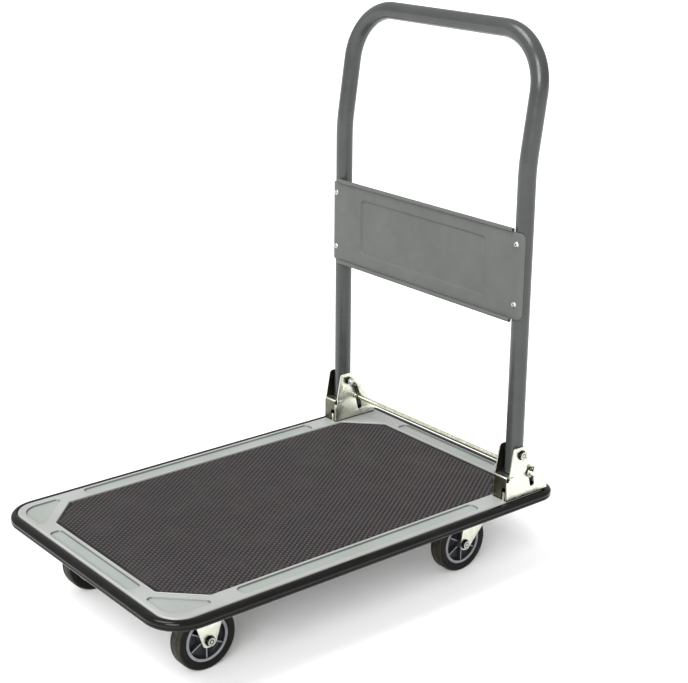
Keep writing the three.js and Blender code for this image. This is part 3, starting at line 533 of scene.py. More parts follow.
# the bracket web's front: zinc darkened as painted reflection and shade; shaded_zinc below is painted shade
# on the sheet's inner faces
ZINC_WEB_SHADE = plated("web_shaded_zinc", srgb(104, 104, 88), srgb(84, 84, 68), 0.34)
ZINC_SHADE = plated("shaded_zinc", srgb(64, 64, 53), srgb(48, 48, 39), 0.4)
YELLOW_ZINC = plated("yellow_zinc", srgb(230, 231, 212), srgb(210, 210, 182), 0.2, brushed=(0.1, 1, 1))
STEEL = plated("bright_steel", srgb(196, 198, 194), srgb(164, 167, 163), 0.2)
# steel darkened as painted reflection and shade: hex flanks, washer edges, split pins and springs
SHADED_STEEL = plated("shaded_steel", srgb(66, 66, 61), srgb(36, 36, 33), 0.24)
CORE_GREY = core_plastic("core_plastic", srgb(108, 109, 115), srgb(126, 127, 132))
# the same plastic painted darker, as shade in the wheel's recess
CORE_SHADE = core_plastic("core_plastic_shaded", srgb(24, 26, 28), srgb(36, 38, 40))
TYRE_RUBBER = tyre_rubber("tyre_rubber", srgb(36, 35, 28), srgb(72, 68, 53))
SIDEWALL_RUBBER = tyre_rubber("sidewall_rubber", srgb(7, 7, 4), srgb(14, 13, 9))
# DARK: the painted shade of holes, hollows and the gaps under the brackets
DARK = hole_shade()
TWO_STEELS = ("bright_steel", [STEEL, SHADED_STEEL])  # slot and looks of the fasteners: plain steel, and steel darkened as painted reflection and shade


# ---- deck --------------------------------------------------------------------------------------
def deck_outline(grow):
    x = DECK_HALF_WIDTH + grow
    y = DECK_HALF_LENGTH + grow
    front = DECK_CORNERS[0] + grow
    rear = DECK_CORNERS[1] + grow
    return rounded([(-x, -y, front), (x, -y, front), (x, y, rear), (-x, y, rear)], steps=16)


def mat_outline(grow):
    x = MAT_HIGH.x + grow
    y = MAT_HIGH.y + grow
    clip = MAT_CLIP + grow * (2 - math.sqrt(2))
    quarter = [(x, y - clip), (x - clip, y)]
    corners = [*quarter]
    corners += [(-a, b) for a, b in reversed(quarter)]
    corners += [(-a, -b) for a, b in quarter]
    corners += [(a, -b) for a, b in reversed(quarter)]
    return rounded([(a, b, 1.2 + max(grow, 0)) for a, b in corners], steps=4)


def long_recess(span_x, span_y, radius):
    """The outline of a straight recess, by how far it is grown."""
    centre = (sum(span_x) / 2, sum(span_y) / 2)
    half_x = (span_x[1] - span_x[0]) / 2
    half_y = (span_y[1] - span_y[0]) / 2
    return lambda grow: rounded_rectangle(half_x + grow, half_y + grow, radius + grow, centre)


def side_recess(side):
    return long_recess(sorted(side * x for x in SIDE_RECESS_X), SIDE_RECESS_Y, 8)


def end_recess(side):
    half = END_RECESS_HALF_LENGTH
    return long_recess((-half, half), sorted(side * y for y in END_RECESS_Y), 7)


def corner_recess(side):
    outer_round, inner_round = CORNER_RECESS_ROUND

    def outline(grow):
        x = CORNER_RECESS[0] + grow
        y = CORNER_RECESS[1] + grow
        tip = CORNER_RECESS_LEG + grow * (2 + math.sqrt(2))
        return rounded([
            (side * x, -y, outer_round + grow),
            (side * x, tip - y, inner_round + grow),
            (side * (x - tip), -y, inner_round + grow),
        ], steps=8)

    return outline


def pressed_wall(depth, reach):
    """(grow, drop) steps of a softly rounded wall, with a flat strip at its top and bottom."""
    shares = [i / 7 for i in range(8)]
    slope = [(reach - 2 * reach * t, depth * eased(t)) for t in shares]
    return [(reach + FLAT_MARGIN, 0), *slope, (-reach - FLAT_MARGIN, depth)]


def eased(t):
    return t * t * (3 - 2 * t)


def tray_wall():
    """Raised and rolled inner edge of the rim, then the wall down to the tray under the mat."""
    crest = TRAY_CLEARANCE + TRAY_LIP
    foot = crest + 0.9
    wall = [(foot + 0.3, 0)]
    wall += [(foot - (foot - crest) * i / 5, -TRAY_LIP_RISE * eased(i / 5)) for i in range(5)]
    drop = TRAY_LIP - TRAY_LIP_RISE
    wall += [(crest - a, drop - b) for a, b in arc((0, 0), TRAY_LIP, 90, 0, 7)]
    floor = DECK_TOP - MAT_LOW.z + 0.3
    return wall + [(TRAY_CLEARANCE, floor), (TRAY_CLEARANCE - FLAT_MARGIN, floor)]


def deck_pan():
    shape = Shape()
    pressings = [(mat_outline, tray_wall())]
    for _, side in SIDES:
        for outline in (side_recess(side), end_recess(side), corner_recess(side)):
            pressings.append((outline, pressed_wall(RECESS_DEPTH, 0.7)))
    border = -EDGE_ROLL - FLAT_MARGIN
    for top in (DECK_TOP, DECK_TOP - SHEET):
        loops = [deck_outline(border)]
        for outline, wall in pressings:
            rings = [at_height(outline(grow), top - drop) for grow, drop in wall]
            # the walls of the recesses take the enamel darkened as painted shade
            floor_mark, shaded_wall_mark = (0, 0) if outline is mat_outline else (1, 2)
            shape.loft(rings[:2])
            shape.loft(rings[1:-1], mark=shaded_wall_mark)
            shape.loft(rings[-2:], mark=floor_mark)
            loops.append(outline(wall[0][0]))
            grow, drop = wall[-1]
            shape.level([outline(grow)], top - drop, floor_mark)
        shape.level(loops, top)
    skirt = [(border, 0)]
    skirt += [(a - EDGE_ROLL, b - EDGE_ROLL) for a, b in arc((0, 0), EDGE_ROLL, 90, 0, 8)]
    foot = SKIRT_FOOT - DECK_TOP
    skirt += [(0, foot + 0.4), (-0.4, foot), (0.4 - SHEET, foot), (-SHEET, foot + 0.4)]
    inner = EDGE_ROLL - SHEET
    skirt += [(a - EDGE_ROLL, b - EDGE_ROLL) for a, b in arc((0, 0), inner, 0, 90, 6)]
    skirt += [(border, -SHEET)]
    shape.loft([at_height(deck_outline(grow), DECK_TOP + z) for grow, z in skirt])
    looks = [DECK_ENAMEL, RECESS_ENAMEL, SHADED_WALL_ENAMEL]
    shape.piece("deck_pan_pressed", "chassis", "deck_paint", looks, "deck_pan", sharp=50)


def stud_centres():
    """The mat's staggered rows of studs, kept clear of its edge."""
    rows = int(MAT_HIGH.y / STUD_ROW)
    columns = int(MAT_HIGH.x / STUD_PITCH) + 1
    margin = STUD_FOOT + 0.4
    for row in range(-rows, rows + 1):
        y = row * STUD_ROW
        for column in range(-columns, columns + 1):
            x = (column + (row % 2) / 2) * STUD_PITCH
            inside_box = abs(x) < MAT_HIGH.x - margin and abs(y) < MAT_HIGH.y - margin
            corner = MAT_HIGH.x + MAT_HIGH.y - MAT_CLIP - margin * math.sqrt(2)
            if inside_box and abs(x) + abs(y) < corner:
                yield x, y


def deck_mat():
    shape = Shape()
    surface = MAT_HIGH.z - STUD_HEIGHT
    sides = [(0, MAT_LOW.z), (0, surface - 0.5), (-0.5, surface)]
    shape.loft([at_height(mat_outline(grow), z) for grow, z in sides])
    shape.level([mat_outline(0)], MAT_LOW.z)
    shape.level([mat_outline(-0.5)], surface)
    levels = [
        (STUD_FOOT, surface),
        ((STUD_FOOT + STUD_CROWN) / 2 + 0.3, surface + 0.62 * STUD_HEIGHT),
        (STUD_CROWN, MAT_HIGH.z),
    ]
    angles = [math.radians(60 * k + 30) for k in range(6)]
    for x, y in stud_centres():
        rings = [[(x + r * math.cos(a), y + r * math.sin(a), z) for a in angles] for r, z in levels]
        shape.loft(rings)
        shape.cap(rings[-1])
    shape.piece("deck_mat_studded", "chassis", "mat_rubber", MAT_RUBBER, "deck_mat", sharp=60)


def bumper_section():
    """Bumper section as [distance out from the rim, height above the rim].

    A foot against the skirt, a narrow gap beside the rim, the bulge, a groove and the lower bead.
    """
    foot = BUMPER_LOW.z - DECK_TOP
    gap_wall = 1.9
    bulge_out, bulge_height = 4.5, -7
    bulge_reach, bulge_rise = 9, 6
    start = math.degrees(math.acos((gap_wall - bulge_out) / bulge_reach))
    section = [(1.0, foot), (0.4, foot + 0.6), (0.4, -6.2), (0.6, -6)]
    section += [(gap_wall - 0.3, -5.7), (gap_wall, -5.4)]
    for x, z in arc((0, 0), 1, start, -12, 24):
        section.append((bulge_out + bulge_reach * x, bulge_height + bulge_rise * z))
    groove = [(12.6, -9.1), (12.35, -9.5)]
    bead = 3.6
    return section + groove + arc((9.5, foot + bead), bead, 34, -90, 14)


def corner_point(x, y, radius, angle):
    """Point on the rounded corner of a rectangle about the origin, in the direction of an angle."""
    return Vector((
        x - math.copysign(radius, x) + radius * math.cos(angle),
        y - math.copysign(radius, y) + radius * math.sin(angle),
    ))


def edge_bumper():
    """The section carried around the deck, between the rim and the bumper's outer outline."""
    shape = Shape()
    section = bumper_section()
    rings = []
    steps = 18
    for corner, (sx, sy) in enumerate([(1, 1), (-1, 1), (-1, -1), (1, -1)]):
        end = 0 if sy < 0 else 1
        for i in range(steps + 1):
            angle = math.pi / 2 * (corner + i / steps)
            rim = corner_point(sx * DECK_HALF_WIDTH, sy * DECK_HALF_LENGTH, DECK_CORNERS[end], angle)
            edge = corner_point(sx * BUMPER_HIGH.x, sy * BUMPER_HIGH.y, BUMPER_CORNERS[end], angle)
            ring = []
            for out, z in section:
                place = rim.lerp(edge, out / BUMPER_REACH)
                ring.append((place.x, place.y, DECK_TOP + z))
            rings.append(ring)
    shape.loft(rings, wrap=True)
    shape.piece("edge_bumper_extruded", "chassis", "bumper_vinyl", BUMPER_VINYL, "edge_bumper", sharp=50)


def stiffener(name):
    """Channel with rounded bends, open below."""
    node = f"stiffener_{name}"
    low, high = box_mm(node)
    centre = (low.x + high.x) / 2
    half = (high.x - low.x) / 2
    outer = 3

    def one_side(inset):
        """A leg and its bend, on the channel's outer face or its inner one."""
        bend = arc((outer - half, high.z - outer), outer - inset, 180, 90, 6)
        return [(inset - half, low.z), *bend]

    section = one_side(0) + [(-x, z) for x, z in reversed(one_side(0))]
    section += [(-x, z) for x, z in one_side(SHEET)] + one_side(SHEET)[::-1]
    shape = Shape()
    shape.loft([[(centre + x, y, z) for x, z in section] for y in (low.y, high.y)])
    for y in (low.y, high.y):
        shape.fill([section], lambda x, z, y=y: (centre + x, y, z))
    shape.piece(f"stiffener_channel_{name}", "chassis", "deck_paint", DECK_ENAMEL, node, sharp=40)


# ---- fasteners ---------------------------------------------------------------------------------
def hex_rings(across, low, high, chamfers):
    """Rings of (radius, angle, distance) points of a hexagon, chamfered at the ends asked for."""
    flat = across / 2
    angles = [2 * math.pi * i / 48 for i in range(48)]
    radii = [flat / math.cos((a + math.pi / 6) % (math.pi / 3) - math.pi / 6) for a in angles]
    crown = flat * 0.94
    slope = math.tan(math.radians(30))
    rings = []
    for end, rise, chamfered in ((low, slope, chamfers[0]), (high, -slope, chamfers[1])):
        if not chamfered:
            rings.append([(r, a, end) for r, a in zip(radii, angles)])
            continue
        edge = [(r, a, end + (r - crown) * rise) for r, a in zip(radii, angles)]
        tip = [(crown, a, end) for a in angles]
        rings += [tip, edge] if rise > 0 else [edge, tip]
    return rings


def hex_head(shape, centre, axis, across, span, chamfers=(False, True), hole=0):
    """Hexagon with its flanks marked for the fastener's darker look, painted reflection and shade."""
    low, high = span
    rings = hex_rings(across, low, high, chamfers)
    placed = [[about(axis, centre, *point) for point in ring] for ring in rings]
    shape.loft(placed, mark=1)
    if not hole:
        shape.cap(placed[-1])
        shape.cap(placed[0])
        return
    bore = []
    for r, d in ((hole + 0.6, high), (hole, high - 0.6), (hole, low + 0.6), (hole + 0.6, low)):
        bore.append([about(axis, centre, r, a, d) for _, a, _ in rings[0]])
    shape.loft([placed[-1], *bore, placed[0]])


def disc(radius, start, end):
    """Profile of a plain round slice."""
    return [(0, start), (radius, start), (radius, end), (0, end)]


def threaded(start, end, radius):
    """Profile of a threaded shank between two distances, with a chamfered tip at the end."""
    pitch = math.copysign(1.25, end - start)
    profile = []
    for i in range(int((end - start) / pitch)):
        profile += [(radius - 0.55, start + pitch * i), (radius, start + pitch * (i + 0.5))]
    return profile + [(radius - 0.8, end), (0, end)]


def cross_bolt(kind, tag, body, side, axle, outer, inner):
    """Hex bolt along X, from its washer at the distance outer to a thread beyond inner."""
    shape = Shape()
    centre = (0, *axle)
    face = side * outer
    crown = side * (outer + HEAD_HEIGHT)
    hex_head(shape, centre, "x", HEX, (face + side * 0.6, crown))
    # the washer and a small raised ring on the head take the darker steel: painted shade outlining the head
    shape.turned(disc(WASHER_RADIUS, face, face + side * 0.5), centre, segments=36, mark=1)
    ring_top = crown + side * 0.3
    ring = [(2.4, crown), (2.4, ring_top), (3.6, ring_top), (3.6, crown)]
    shape.turned(ring, centre, segments=24, mark=1)
    tip = inner - BOLT_OVERHANG
    shank_end = side * (tip + 10)
    profile = [(0, face), (BOLT_RADIUS - 0.1, face), (BOLT_RADIUS - 0.1, shank_end)]
    shape.turned(profile + threaded(shank_end, side * tip, BOLT_RADIUS), centre, segments=28)
    shape.piece(f"{kind}_bolt_hex_{tag}", body, *TWO_STEELS, f"{kind}_bolt_{tag}", bevel=0.25, sharp=30)


def cross_nut(kind, tag, body, side, axle, inner):
    shape = Shape()
    face = inner - 0.3
    ends = sorted((side * (face - NUT_HEIGHT), side * face))
    hex_head(shape, (0, *axle), "x", HEX, ends, (True, True), hole=BOLT_RADIUS + 0.1)
    shape.piece(f"{kind}_nut_hex_{tag}", body, *TWO_STEELS, f"{kind}_nut_{tag}", sharp=30)


def panel_rivet(name, side, level):
    node = f"panel_rivet_{level}_{name}"
    low, high = box_mm(node)
    centre = (side * TUBE_X, low.y, (low.z + high.z) / 2)
    head = (high.x - low.x) / 2
    back = PANEL_FRONT - low.y - 0.05
    profile = [(1.25, 1.2), (1.35, 0.25), (1.9, 0)]
    profile += [(head * 0.62, 0.18), (head * 0.86, 0.7), (head * 0.98, 1.4), (head, back), (0, back)]
    shape = Shape()
    shape.turned(profile, centre, axis="y", segments=32)
    # a disc down in the rivet's hollow, painted shade
    shape.turned([(0, 0.95), (1.3, 0.95)], centre, axis="y", segments=32, mark=1)
    shape.piece(f"blind_rivet_{level}_{name}", "handle", "bright_steel", [STEEL, DARK], node, sharp=40)


# ---- handle ------------------------------------------------------------------------------------
def bend_points(centre, radius, ahead, inward, angle, steps):
    """Points of a bend that starts in the direction ahead and curls inward around its centre."""
    angles = [angle * i / steps for i in range(steps + 1)]
    return [centre + radius * (ahead * math.sin(a) - inward * math.cos(a)) for a in angles]


def hoop_path():
    """Centre line of the hoop, from the left foot over the top to the right foot."""
    up = Vector((0, 0, 1))
    back = Vector((0, 1, 0))
    inward = Vector((1, 0, 0))
    leaning = Vector((0, math.sin(LEAN), math.cos(LEAN)))
    foot = Vector((-TUBE_X, TUBE_Y, TUBE_LOW.z))
    knee = Vector((-TUBE_X, TUBE_Y, LEAN_START))
    bend_centre = knee - up * LEAN_BEND_RADIUS * math.tan(LEAN / 2) + back * LEAN_BEND_RADIUS
    rise = (TOP_BAR - LEAN_START) / math.cos(LEAN)
    corner_centre = knee + leaning * (rise - HOOP_CORNER) + inward * HOOP_CORNER
    path = [foot, foot + up * 3]
    path += bend_points(bend_centre, LEAN_BEND_RADIUS, up, back, LEAN, 8)
    path += bend_points(corner_centre, HOOP_CORNER, leaning, inward, math.pi / 2, 24)
    return path + [Vector((-p.x, p.y, p.z)) for p in reversed(path)]


def handle_tube():
    shape = Shape()
    sides = 48
    outside = tube_rings(hoop_path(), TUBE_RADIUS, sides)
    shape.loft(outside)
    for foot in (outside[0], outside[-1]):
        centre = sum(foot, Vector((0, 0, 0))) / sides
        inner = [centre + (p - centre) * (1 - TUBE_WALL / TUBE_RADIUS) for p in foot]
        top = [p + Vector((0, 0, TUBE_BORE_DEPTH)) for p in inner]
        shape.loft([foot, inner])
        # the bore and the disc closing it take painted shade, for the dark inside of the tube
        shape.loft([inner, top], mark=1)
        shape.cap(top, mark=1)
    shape.piece("handle_hoop", "handle", "tube_paint", [TUBE_PAINT, DARK], "handle_tube", sharp=50)


def on_panel(u, z, depth=0.0):
    """A point of the panel's front face: u runs along the sheet and around the uprights."""
    if abs(u) <= TUBE_X:
        return (u, PANEL_FRONT + depth, z)
    side = math.copysign(1, u)
    radius = TUBE_Y - PANEL_FRONT
    angle = (abs(u) - TUBE_X) / radius
    reach = radius - depth
    return (side * (TUBE_X + reach * math.sin(angle)), TUBE_Y - reach * math.cos(angle), z)


def panel_sheet():
    """The panel with its pressed field and the two ends wrapped around the uprights."""
    shape = Shape()
    middle = (PANEL_EDGE_LOW + PANEL_EDGE_HIGH) / 2
    half_height = (PANEL_EDGE_HIGH - PANEL_EDGE_LOW) / 2
    flat_end = TUBE_X - 4
    dip_half = (PANEL_DIP_Z[1] - PANEL_DIP_Z[0]) / 2
    dip_middle = (PANEL_DIP_Z[0] + PANEL_DIP_Z[1]) / 2

    def dip(grow):
        return rounded_rectangle(
            PANEL_DIP_HALF_LENGTH + grow, dip_half + grow, 9 + grow, (0, dip_middle), steps=8
        )

    wall = pressed_wall(PANEL_DIP_DEPTH, 2.2)
    shape.loft([[on_panel(u, z, drop) for u, z in dip(grow)] for grow, drop in wall])
    shape.fill([dip(wall[-1][0])], lambda u, z: on_panel(u, z, PANEL_DIP_DEPTH))
    levels = 16
    heights = [middle + half_height * (2 * i / levels - 1) for i in range(levels + 1)]
    frame_loop = [(-flat_end, z) for z in heights] + [(flat_end, z) for z in reversed(heights)]
    shape.fill([frame_loop, dip(wall[0][0])], on_panel)
    sheet_end = TUBE_X + (TUBE_Y - PANEL_FRONT) * PANEL_WRAP
    for _, side in SIDES:
        columns = []
        corner_start = sheet_end - PANEL_CORNER
        stations = [flat_end + (corner_start - flat_end) * i / 8 for i in range(8)]
        stations += [corner_start + PANEL_CORNER * math.sin(math.pi / 2 * i / 8) for i in range(9)]
        for u in stations:
            cut = 0
            if u > corner_start:
                cut = PANEL_CORNER - math.sqrt(max(PANEL_CORNER**2 - (u - corner_start) ** 2, 0))
            share = (half_height - cut) / half_height
            columns.append([on_panel(side * u, middle + (z - middle) * share) for z in heights])
        shape.loft(columns, closed=False)
    shape.piece(
        "back_panel_sheet", "handle", "tube_paint", PANEL_PAINT, "back_panel",
        thicken=PANEL_SHEET, bevel=0.35, sharp=50,
    )


def panel_hem(name, edge, direction):
    """A rolled edge: the sheet curls forward and back onto itself, with open ends, each with a painted-shade
    disc set a little inside.
    """
    shape = Shape()
    centre_y = PANEL_FRONT + PANEL_SHEET - HEM_RADIUS
    centre_z = edge + direction * (HEM_RADIUS - 0.4)
    bore = HEM_RADIUS - HEM_SHEET
    foot = HEM_RADIUS * 1.15
    curl = arc((0, 0), HEM_RADIUS, 0, 285, 26) + arc((0, 0), bore, 285, 0, 26)
    section = [(HEM_RADIUS, -foot), *curl, (bore, -foot)]
    shaded_end = arc((0, 0), bore + 0.1, 0, 360, 20)[:-1]

    def at(x):
        return lambda y, z: (x, centre_y + y, centre_z + direction * z)

    stations = (-HEM_HALF_LENGTH, 0, HEM_HALF_LENGTH)
    shape.loft([[at(x)(y, z) for y, z in section] for x in stations])
    for end in (-1, 1):
        shape.fill([section], at(end * HEM_HALF_LENGTH))
        shape.fill([shaded_end], at(end * (HEM_HALF_LENGTH - 2.5)), mark=1)
    shape.piece(f"panel_hem_{name}", "handle", "tube_paint", [PANEL_PAINT, DARK], sharp=50)


# ---- handle brackets and lock bar --------------------------------------------------------------
def bar_slot():
    """Outline of the slot the lock bar slides in, from its rest at the top to its full travel."""
    half = BAR_TRAVEL / 2
    c, s = math.cos(SLOT_TILT), math.sin(SLOT_TILT)
    middle = (BAR[0] + half * s, BAR[1] - half * c)
    upright = rounded_rectangle(SLOT_HALF_WIDTH, half + BAR_RADIUS + 0.35, BAR_RADIUS, steps=8)
    return [(middle[0] + y * c - z * s, middle[1] + y * s + z * c) for y, z in upright]


def bracket(name, side):
    """Folded bracket: two cheeks, a front web with a folded lip, a base, and small tabs."""
    low, high = box_mm(f"bracket_{name}")
    middle = side * TUBE_X
    base = low.z
    top = high.z
    front = low.y
    rear = high.y
    half = BRACKET_HALF_WIDTH
    bend = BRACKET_BEND
    shoulder = WEB_TOP - 8  # where the web's bends end
    foot = base + FOOT_GAP
    shape = Shape()
    cheek = rounded([
        (front + bend, foot, 0),
        (rear, foot, 1.2),
        (rear, base + 10, 5),
        (CHEEK_KNEE[0], base + CHEEK_KNEE[1], 9),
        (CHEEK_TOP[1], top, 5),
        (CHEEK_TOP[0], top, 5),
        (front + bend + 0.6, WEB_TOP + 1, 12),
        (front + bend, shoulder, 0),
    ], steps=7)
    hook = arc(HOOK, 2, 0, 360, 16)[:-1]
    pivot = arc(PIVOT, BOLT_RADIUS + 0.35, 0, 360, 24)[:-1]
    for sign in (-1, 1):
        x = middle + sign * half
        shape.fill([cheek, bar_slot(), hook, pivot], lambda y, z, x=x: (x, y, z))
        corner = [(x - sign * (bend - a), front + bend - b) for a, b in arc((0, 0), bend, 0, 90, 7)]
        shape.loft([at_height(corner, z) for z in (foot, shoulder)], closed=False)
    web_half = half - bend
    notch_right = web_half - 0.5
    notch_left = notch_right - 9
    notch_top = base + 21
    tongue = (middle + notch_left + 3, middle + notch_right - 1.5)
    fold = 2.2
    web = [
        (-web_half, foot), (notch_left, foot), (notch_left, notch_top), (notch_right, notch_top),
        (notch_right, foot), (web_half, foot), (web_half, shoulder), (web_half, WEB_TOP - fold),
        (-web_half, WEB_TOP - fold), (-web_half, shoulder),
    ]
    shape.fill([web], lambda x, z: (middle + x, front, z), mark=1)
    lip = [(front, WEB_TOP - fold)]
    lip += [(front + fold - a, WEB_TOP - fold + b) for a, b in arc((0, 0), fold, 0, 90, 6)[1:]]
    lip += [(TUBE_Y - TUBE_RADIUS - 0.3, WEB_TOP)]
    shape.loft([[(middle + x, y, z) for x in (-web_half, web_half)] for y, z in lip], closed=False)
    # cheeks in bright zinc; the web's front in zinc darkened as painted reflection and shade; the inner
    # faces painted shade
    shape.piece(
        f"bracket_folded_{name}", "chassis", "zinc", [ZINC, ZINC_WEB_SHADE, ZINC_SHADE], f"bracket_{name}",
        thicken=BRACKET_SHEET, bevel=0.4, sharp=40, back=2,
    )
    tabs = Shape()
    inner = half - BRACKET_SHEET
    slab(tabs, (middle - inner, middle + inner), (front + 2, rear - 1), (base, base + BRACKET_SHEET))
    slab(tabs, tongue, (front - 1.2, front + 1.2), (base, base + 14))
    slab(tabs, tongue, (front - 1.2, front + 8), (base, foot))
    slab(tabs, (middle + half - 0.5, middle + half + 2.2), LUG_Y, LUG_Z)
    tabs.piece(f"bracket_base_{name}", "chassis", "zinc", ZINC, bevel=0.5, sharp=40)
    # a slab in the dark look under the folded sheet: a painted shadow line
    gap = Shape()
    inner = half - 0.5
    slab(gap, (middle - inner, middle + inner), (front + 0.5, rear - 0.5), (base, foot + 0.2))
    gap.piece(f"bracket_gap_shade_{name}", "chassis", "zinc", DARK, sharp=40)


def slab(shape, span_x, span_y, span_z):
    near, far = span_y
    outline = [(span_x[0], near), (span_x[1], near), (span_x[1], far), (span_x[0], far)]
    shape.loft([at_height(outline, z) for z in span_z], caps=True)


def lock_bar():
    reach = BAR_HALF.x
    half = [(BAR_RADIUS, reach - 0.8), (BAR_RADIUS - 0.8, reach), (0, reach)]
    profile = [(r, -x) for r, x in reversed(half)] + half
    turned_piece(
        "lock_bar_rod", "lock_bar_body", "yellow_zinc", YELLOW_ZINC, profile, (0, *BAR),
        axis="x", segments=40, node="lock_bar", sharp=30,
    )


def lock_washer(name):
    node = f"lock_washer_{name}"
    centre, size = middle_mm(node)
    half = size.x
    rim = size.z
    bore = BAR_RADIUS + 0.3
    profile = [
        (bore, -half), (rim - 0.4, -half), (rim, 0.3 - half),
        (rim, half - 0.3), (rim - 0.4, half), (bore, half), (bore, -half),
    ]
    shape = Shape()
    # faces in plain steel; rim and bore in the darker steel, painted shade as outlines
    for first, last, mark in ((0, 1, 0), (1, 4, 1), (4, 5, 0), (5, 6, 1)):
        shape.turned(profile[first:last + 1], centre, segments=40, mark=mark)
    shape.piece(f"lock_washer_turned_{name}", "lock_bar_body", *TWO_STEELS, node, sharp=30)


def split_pin(name):
    """Split pin: a looped eye above the bar, two legs through it, and their ends spread below."""
    node = f"lock_pin_{name}"
    low, high = box_mm(node)
    eye = 2.4
    wire = 0.85
    top = high.z - wire - eye - BAR[1]

    def leg(side, tip, bend):
        """Offsets from the bar's axis, from the spread end of a leg up to the eye."""
        below = -BAR_RADIUS - 1.2
        offsets = [(bend, below), (wire, -2), (wire, BAR_RADIUS), (0.9, top - 2.2)]
        return [tip, *((side * y, z) for y, z in offsets)]

    path = leg(-1, (-3.4, -BAR_RADIUS - 3.4), 1.4)
    path += arc((0, top), eye, 215, -35, 16)
    path += reversed(leg(1, (2.6, -BAR_RADIUS - 3.8), 1.3))
    x = (low.x + high.x) / 2
    shape = Shape()
    shape.tube([(x, BAR[0] + y, BAR[1] + z) for y, z in path], wire, sides=12)
    # the wire takes the steel darkened as painted reflection and shade
    shape.piece(f"split_pin_{name}", "lock_bar_body", "bright_steel", SHADED_STEEL, node, sharp=50)


def return_spring(name, side):
    """Extension spring from a loop around the bar up to a hook in the cheek's hole."""
    low, high = box_mm(f"return_spring_{name}")
    x = side * (min(abs(low.x), abs(high.x)) + SPRING_COIL + SPRING_WIRE)
    bar = Vector((x, *BAR))
    hook = Vector((x, *HOOK))
    up = (hook - bar).normalized()
    along = up.cross(Vector((1, 0, 0)))
    loop = BAR_RADIUS + SPRING_WIRE + 0.3
    coil_low = loop + 1.2
    coil_high = (hook - bar).length - 2.6
    path = [bar + along * a + up * b for a, b in arc((0, 0), loop, 110, 400, 28)]
    per_turn = 16
    steps = SPRING_TURNS * per_turn
    for i in range(steps + 1):
        angle = 2 * math.pi * i / per_turn
        middle = bar + up * (coil_low + (coil_high - coil_low) * i / steps)
        outward = Vector((-side * SPRING_COIL * math.sin(angle), 0, 0))
        path.append(middle + outward + along * SPRING_COIL * math.cos(angle))
    path += [hook + along * 1.6 - up * 1.6, hook + Vector((side * 0.6, 0.5, -0.3))]
    through = side * (TUBE_X - BRACKET_HALF_WIDTH + BRACKET_SHEET + 1)
    path += [hook + Vector((side * 2, 0, 0)), Vector((through, *HOOK))]
    shape = Shape()
    shape.tube(path, SPRING_WIRE, sides=8)
    # the wire takes the steel darkened as painted reflection and shade
    piece = shape.piece(f"spring_wire_{name}", "chassis", "bright_steel", SHADED_STEEL, sharp=60)
    piece.parent = None
    del piece["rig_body"]
    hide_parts(f"return_spring_{name}")
    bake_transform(piece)


# ---- casters -----------------------------------------------------------------------------------
def leg_widths(outline, z):
    """Lowest and highest Y of a convex (y, z) outline at one height."""
    found = []
    for i, (y0, z0) in enumerate(outline):
        y1, z1 = outline[(i + 1) % len(outline)]
        if min(z0, z1) <= z <= max(z0, z1) and z0 != z1:
            found.append(y0 + (y1 - y0) * (z - z0) / (z1 - z0))
    return min(found), max(found)


def fork(kind, name, body, centre_x, outline, crown_z):
    """Two tapering legs joined by a crown, folded from one sheet with a rounded bend."""
    bend = 4
    outer = FORK_GAP + FORK_SHEET
    bottom = min(z for _, z in outline)
    ceiling = max(z for _, z in outline) - 0.01
    straight = crown_z - bend
    tip = 8  # height over which the round tip of a leg is drawn with closer rows
    levels = [bottom + 0.02 + tip * (1 - math.cos(math.pi / 2 * i / 12)) for i in range(13)]
    levels += [levels[-1] + (straight - levels[-1]) * i / 6 for i in range(1, 7)]
    stations = [(outer, z) for z in levels]
    stations += arc((outer - bend, straight), bend, 0, 90, 6)[1:]
    stations += [(-x, z) for x, z in reversed(stations)]
    columns = []
    for x, z in stations:
        first, last = leg_widths(outline, min(z, ceiling))
        columns.append([(centre_x + x, first + (last - first) * i / 6, z) for i in range(7)])
    shape = Shape()
    shape.loft(columns, closed=False)
    node = f"{kind}_fork_{name}"
    piece_name = f"{kind}_fork_folded_{name}"
    shape.piece(piece_name, body, "zinc", ZINC, node, thicken=FORK_SHEET, bevel=0.5, sharp=40)


def fixed_caster(name):
    top = box_mm(f"fixed_fork_{name}")[1].z
    axle, _ = middle_mm(f"tyre_front_{name}")
    plate_bottom = top - 2.5
    half = [(37, top, 0), (37, plate_bottom - 3, 6), (9.5, AXLE_Z - 10.5, 8.6)]
    corners = [(axle.y - y, z, radius) for y, z, radius in half]
    corners += [(axle.y + y, z, radius) for y, z, radius in reversed(half)]
    fork("fixed", name, "chassis", axle.x, rounded(corners, steps=10), plate_bottom)
    caster_plate("fixed", name, axle.x, axle.y, plate_bottom, top)


def caster_plate(kind, name, x, y, low, high, node=None):
    """The plate under the deck and its bolts."""
    shape = Shape()
    outline = rounded_rectangle(*PLATE_HALF, 7, (x, y), steps=8)
    shape.loft([at_height(outline, low + 0.1), at_height(outline, high)], caps=True)
    shape.piece(f"{kind}_caster_plate_{name}", "chassis", "zinc", ZINC, node, bevel=0.5, sharp=40)
    plate_bolts(f"{kind}_caster_bolts_{name}", x, y, low)


def plate_bolts(name, x, y, face):
    """Four hex nuts on the ends of the plate's bolts, seen from below."""
    shape = Shape()
    for sx in (-1, 1):
        for sy in (-1, 1):
            centre = (x + sx * PLATE_BOLTS[0], y + sy * PLATE_BOLTS[1], face)
            shape.turned(disc(6.6, 0, -1.1), centre, axis="z", segments=30)
            hex_head(shape, centre, "z", 10, (-6.0, -1.1), (True, False))
            shape.turned([(0, -5), *threaded(-5.5, -8.2, 3)], centre, axis="z", segments=20)
    shape.piece(name, "chassis", *TWO_STEELS, sharp=30)


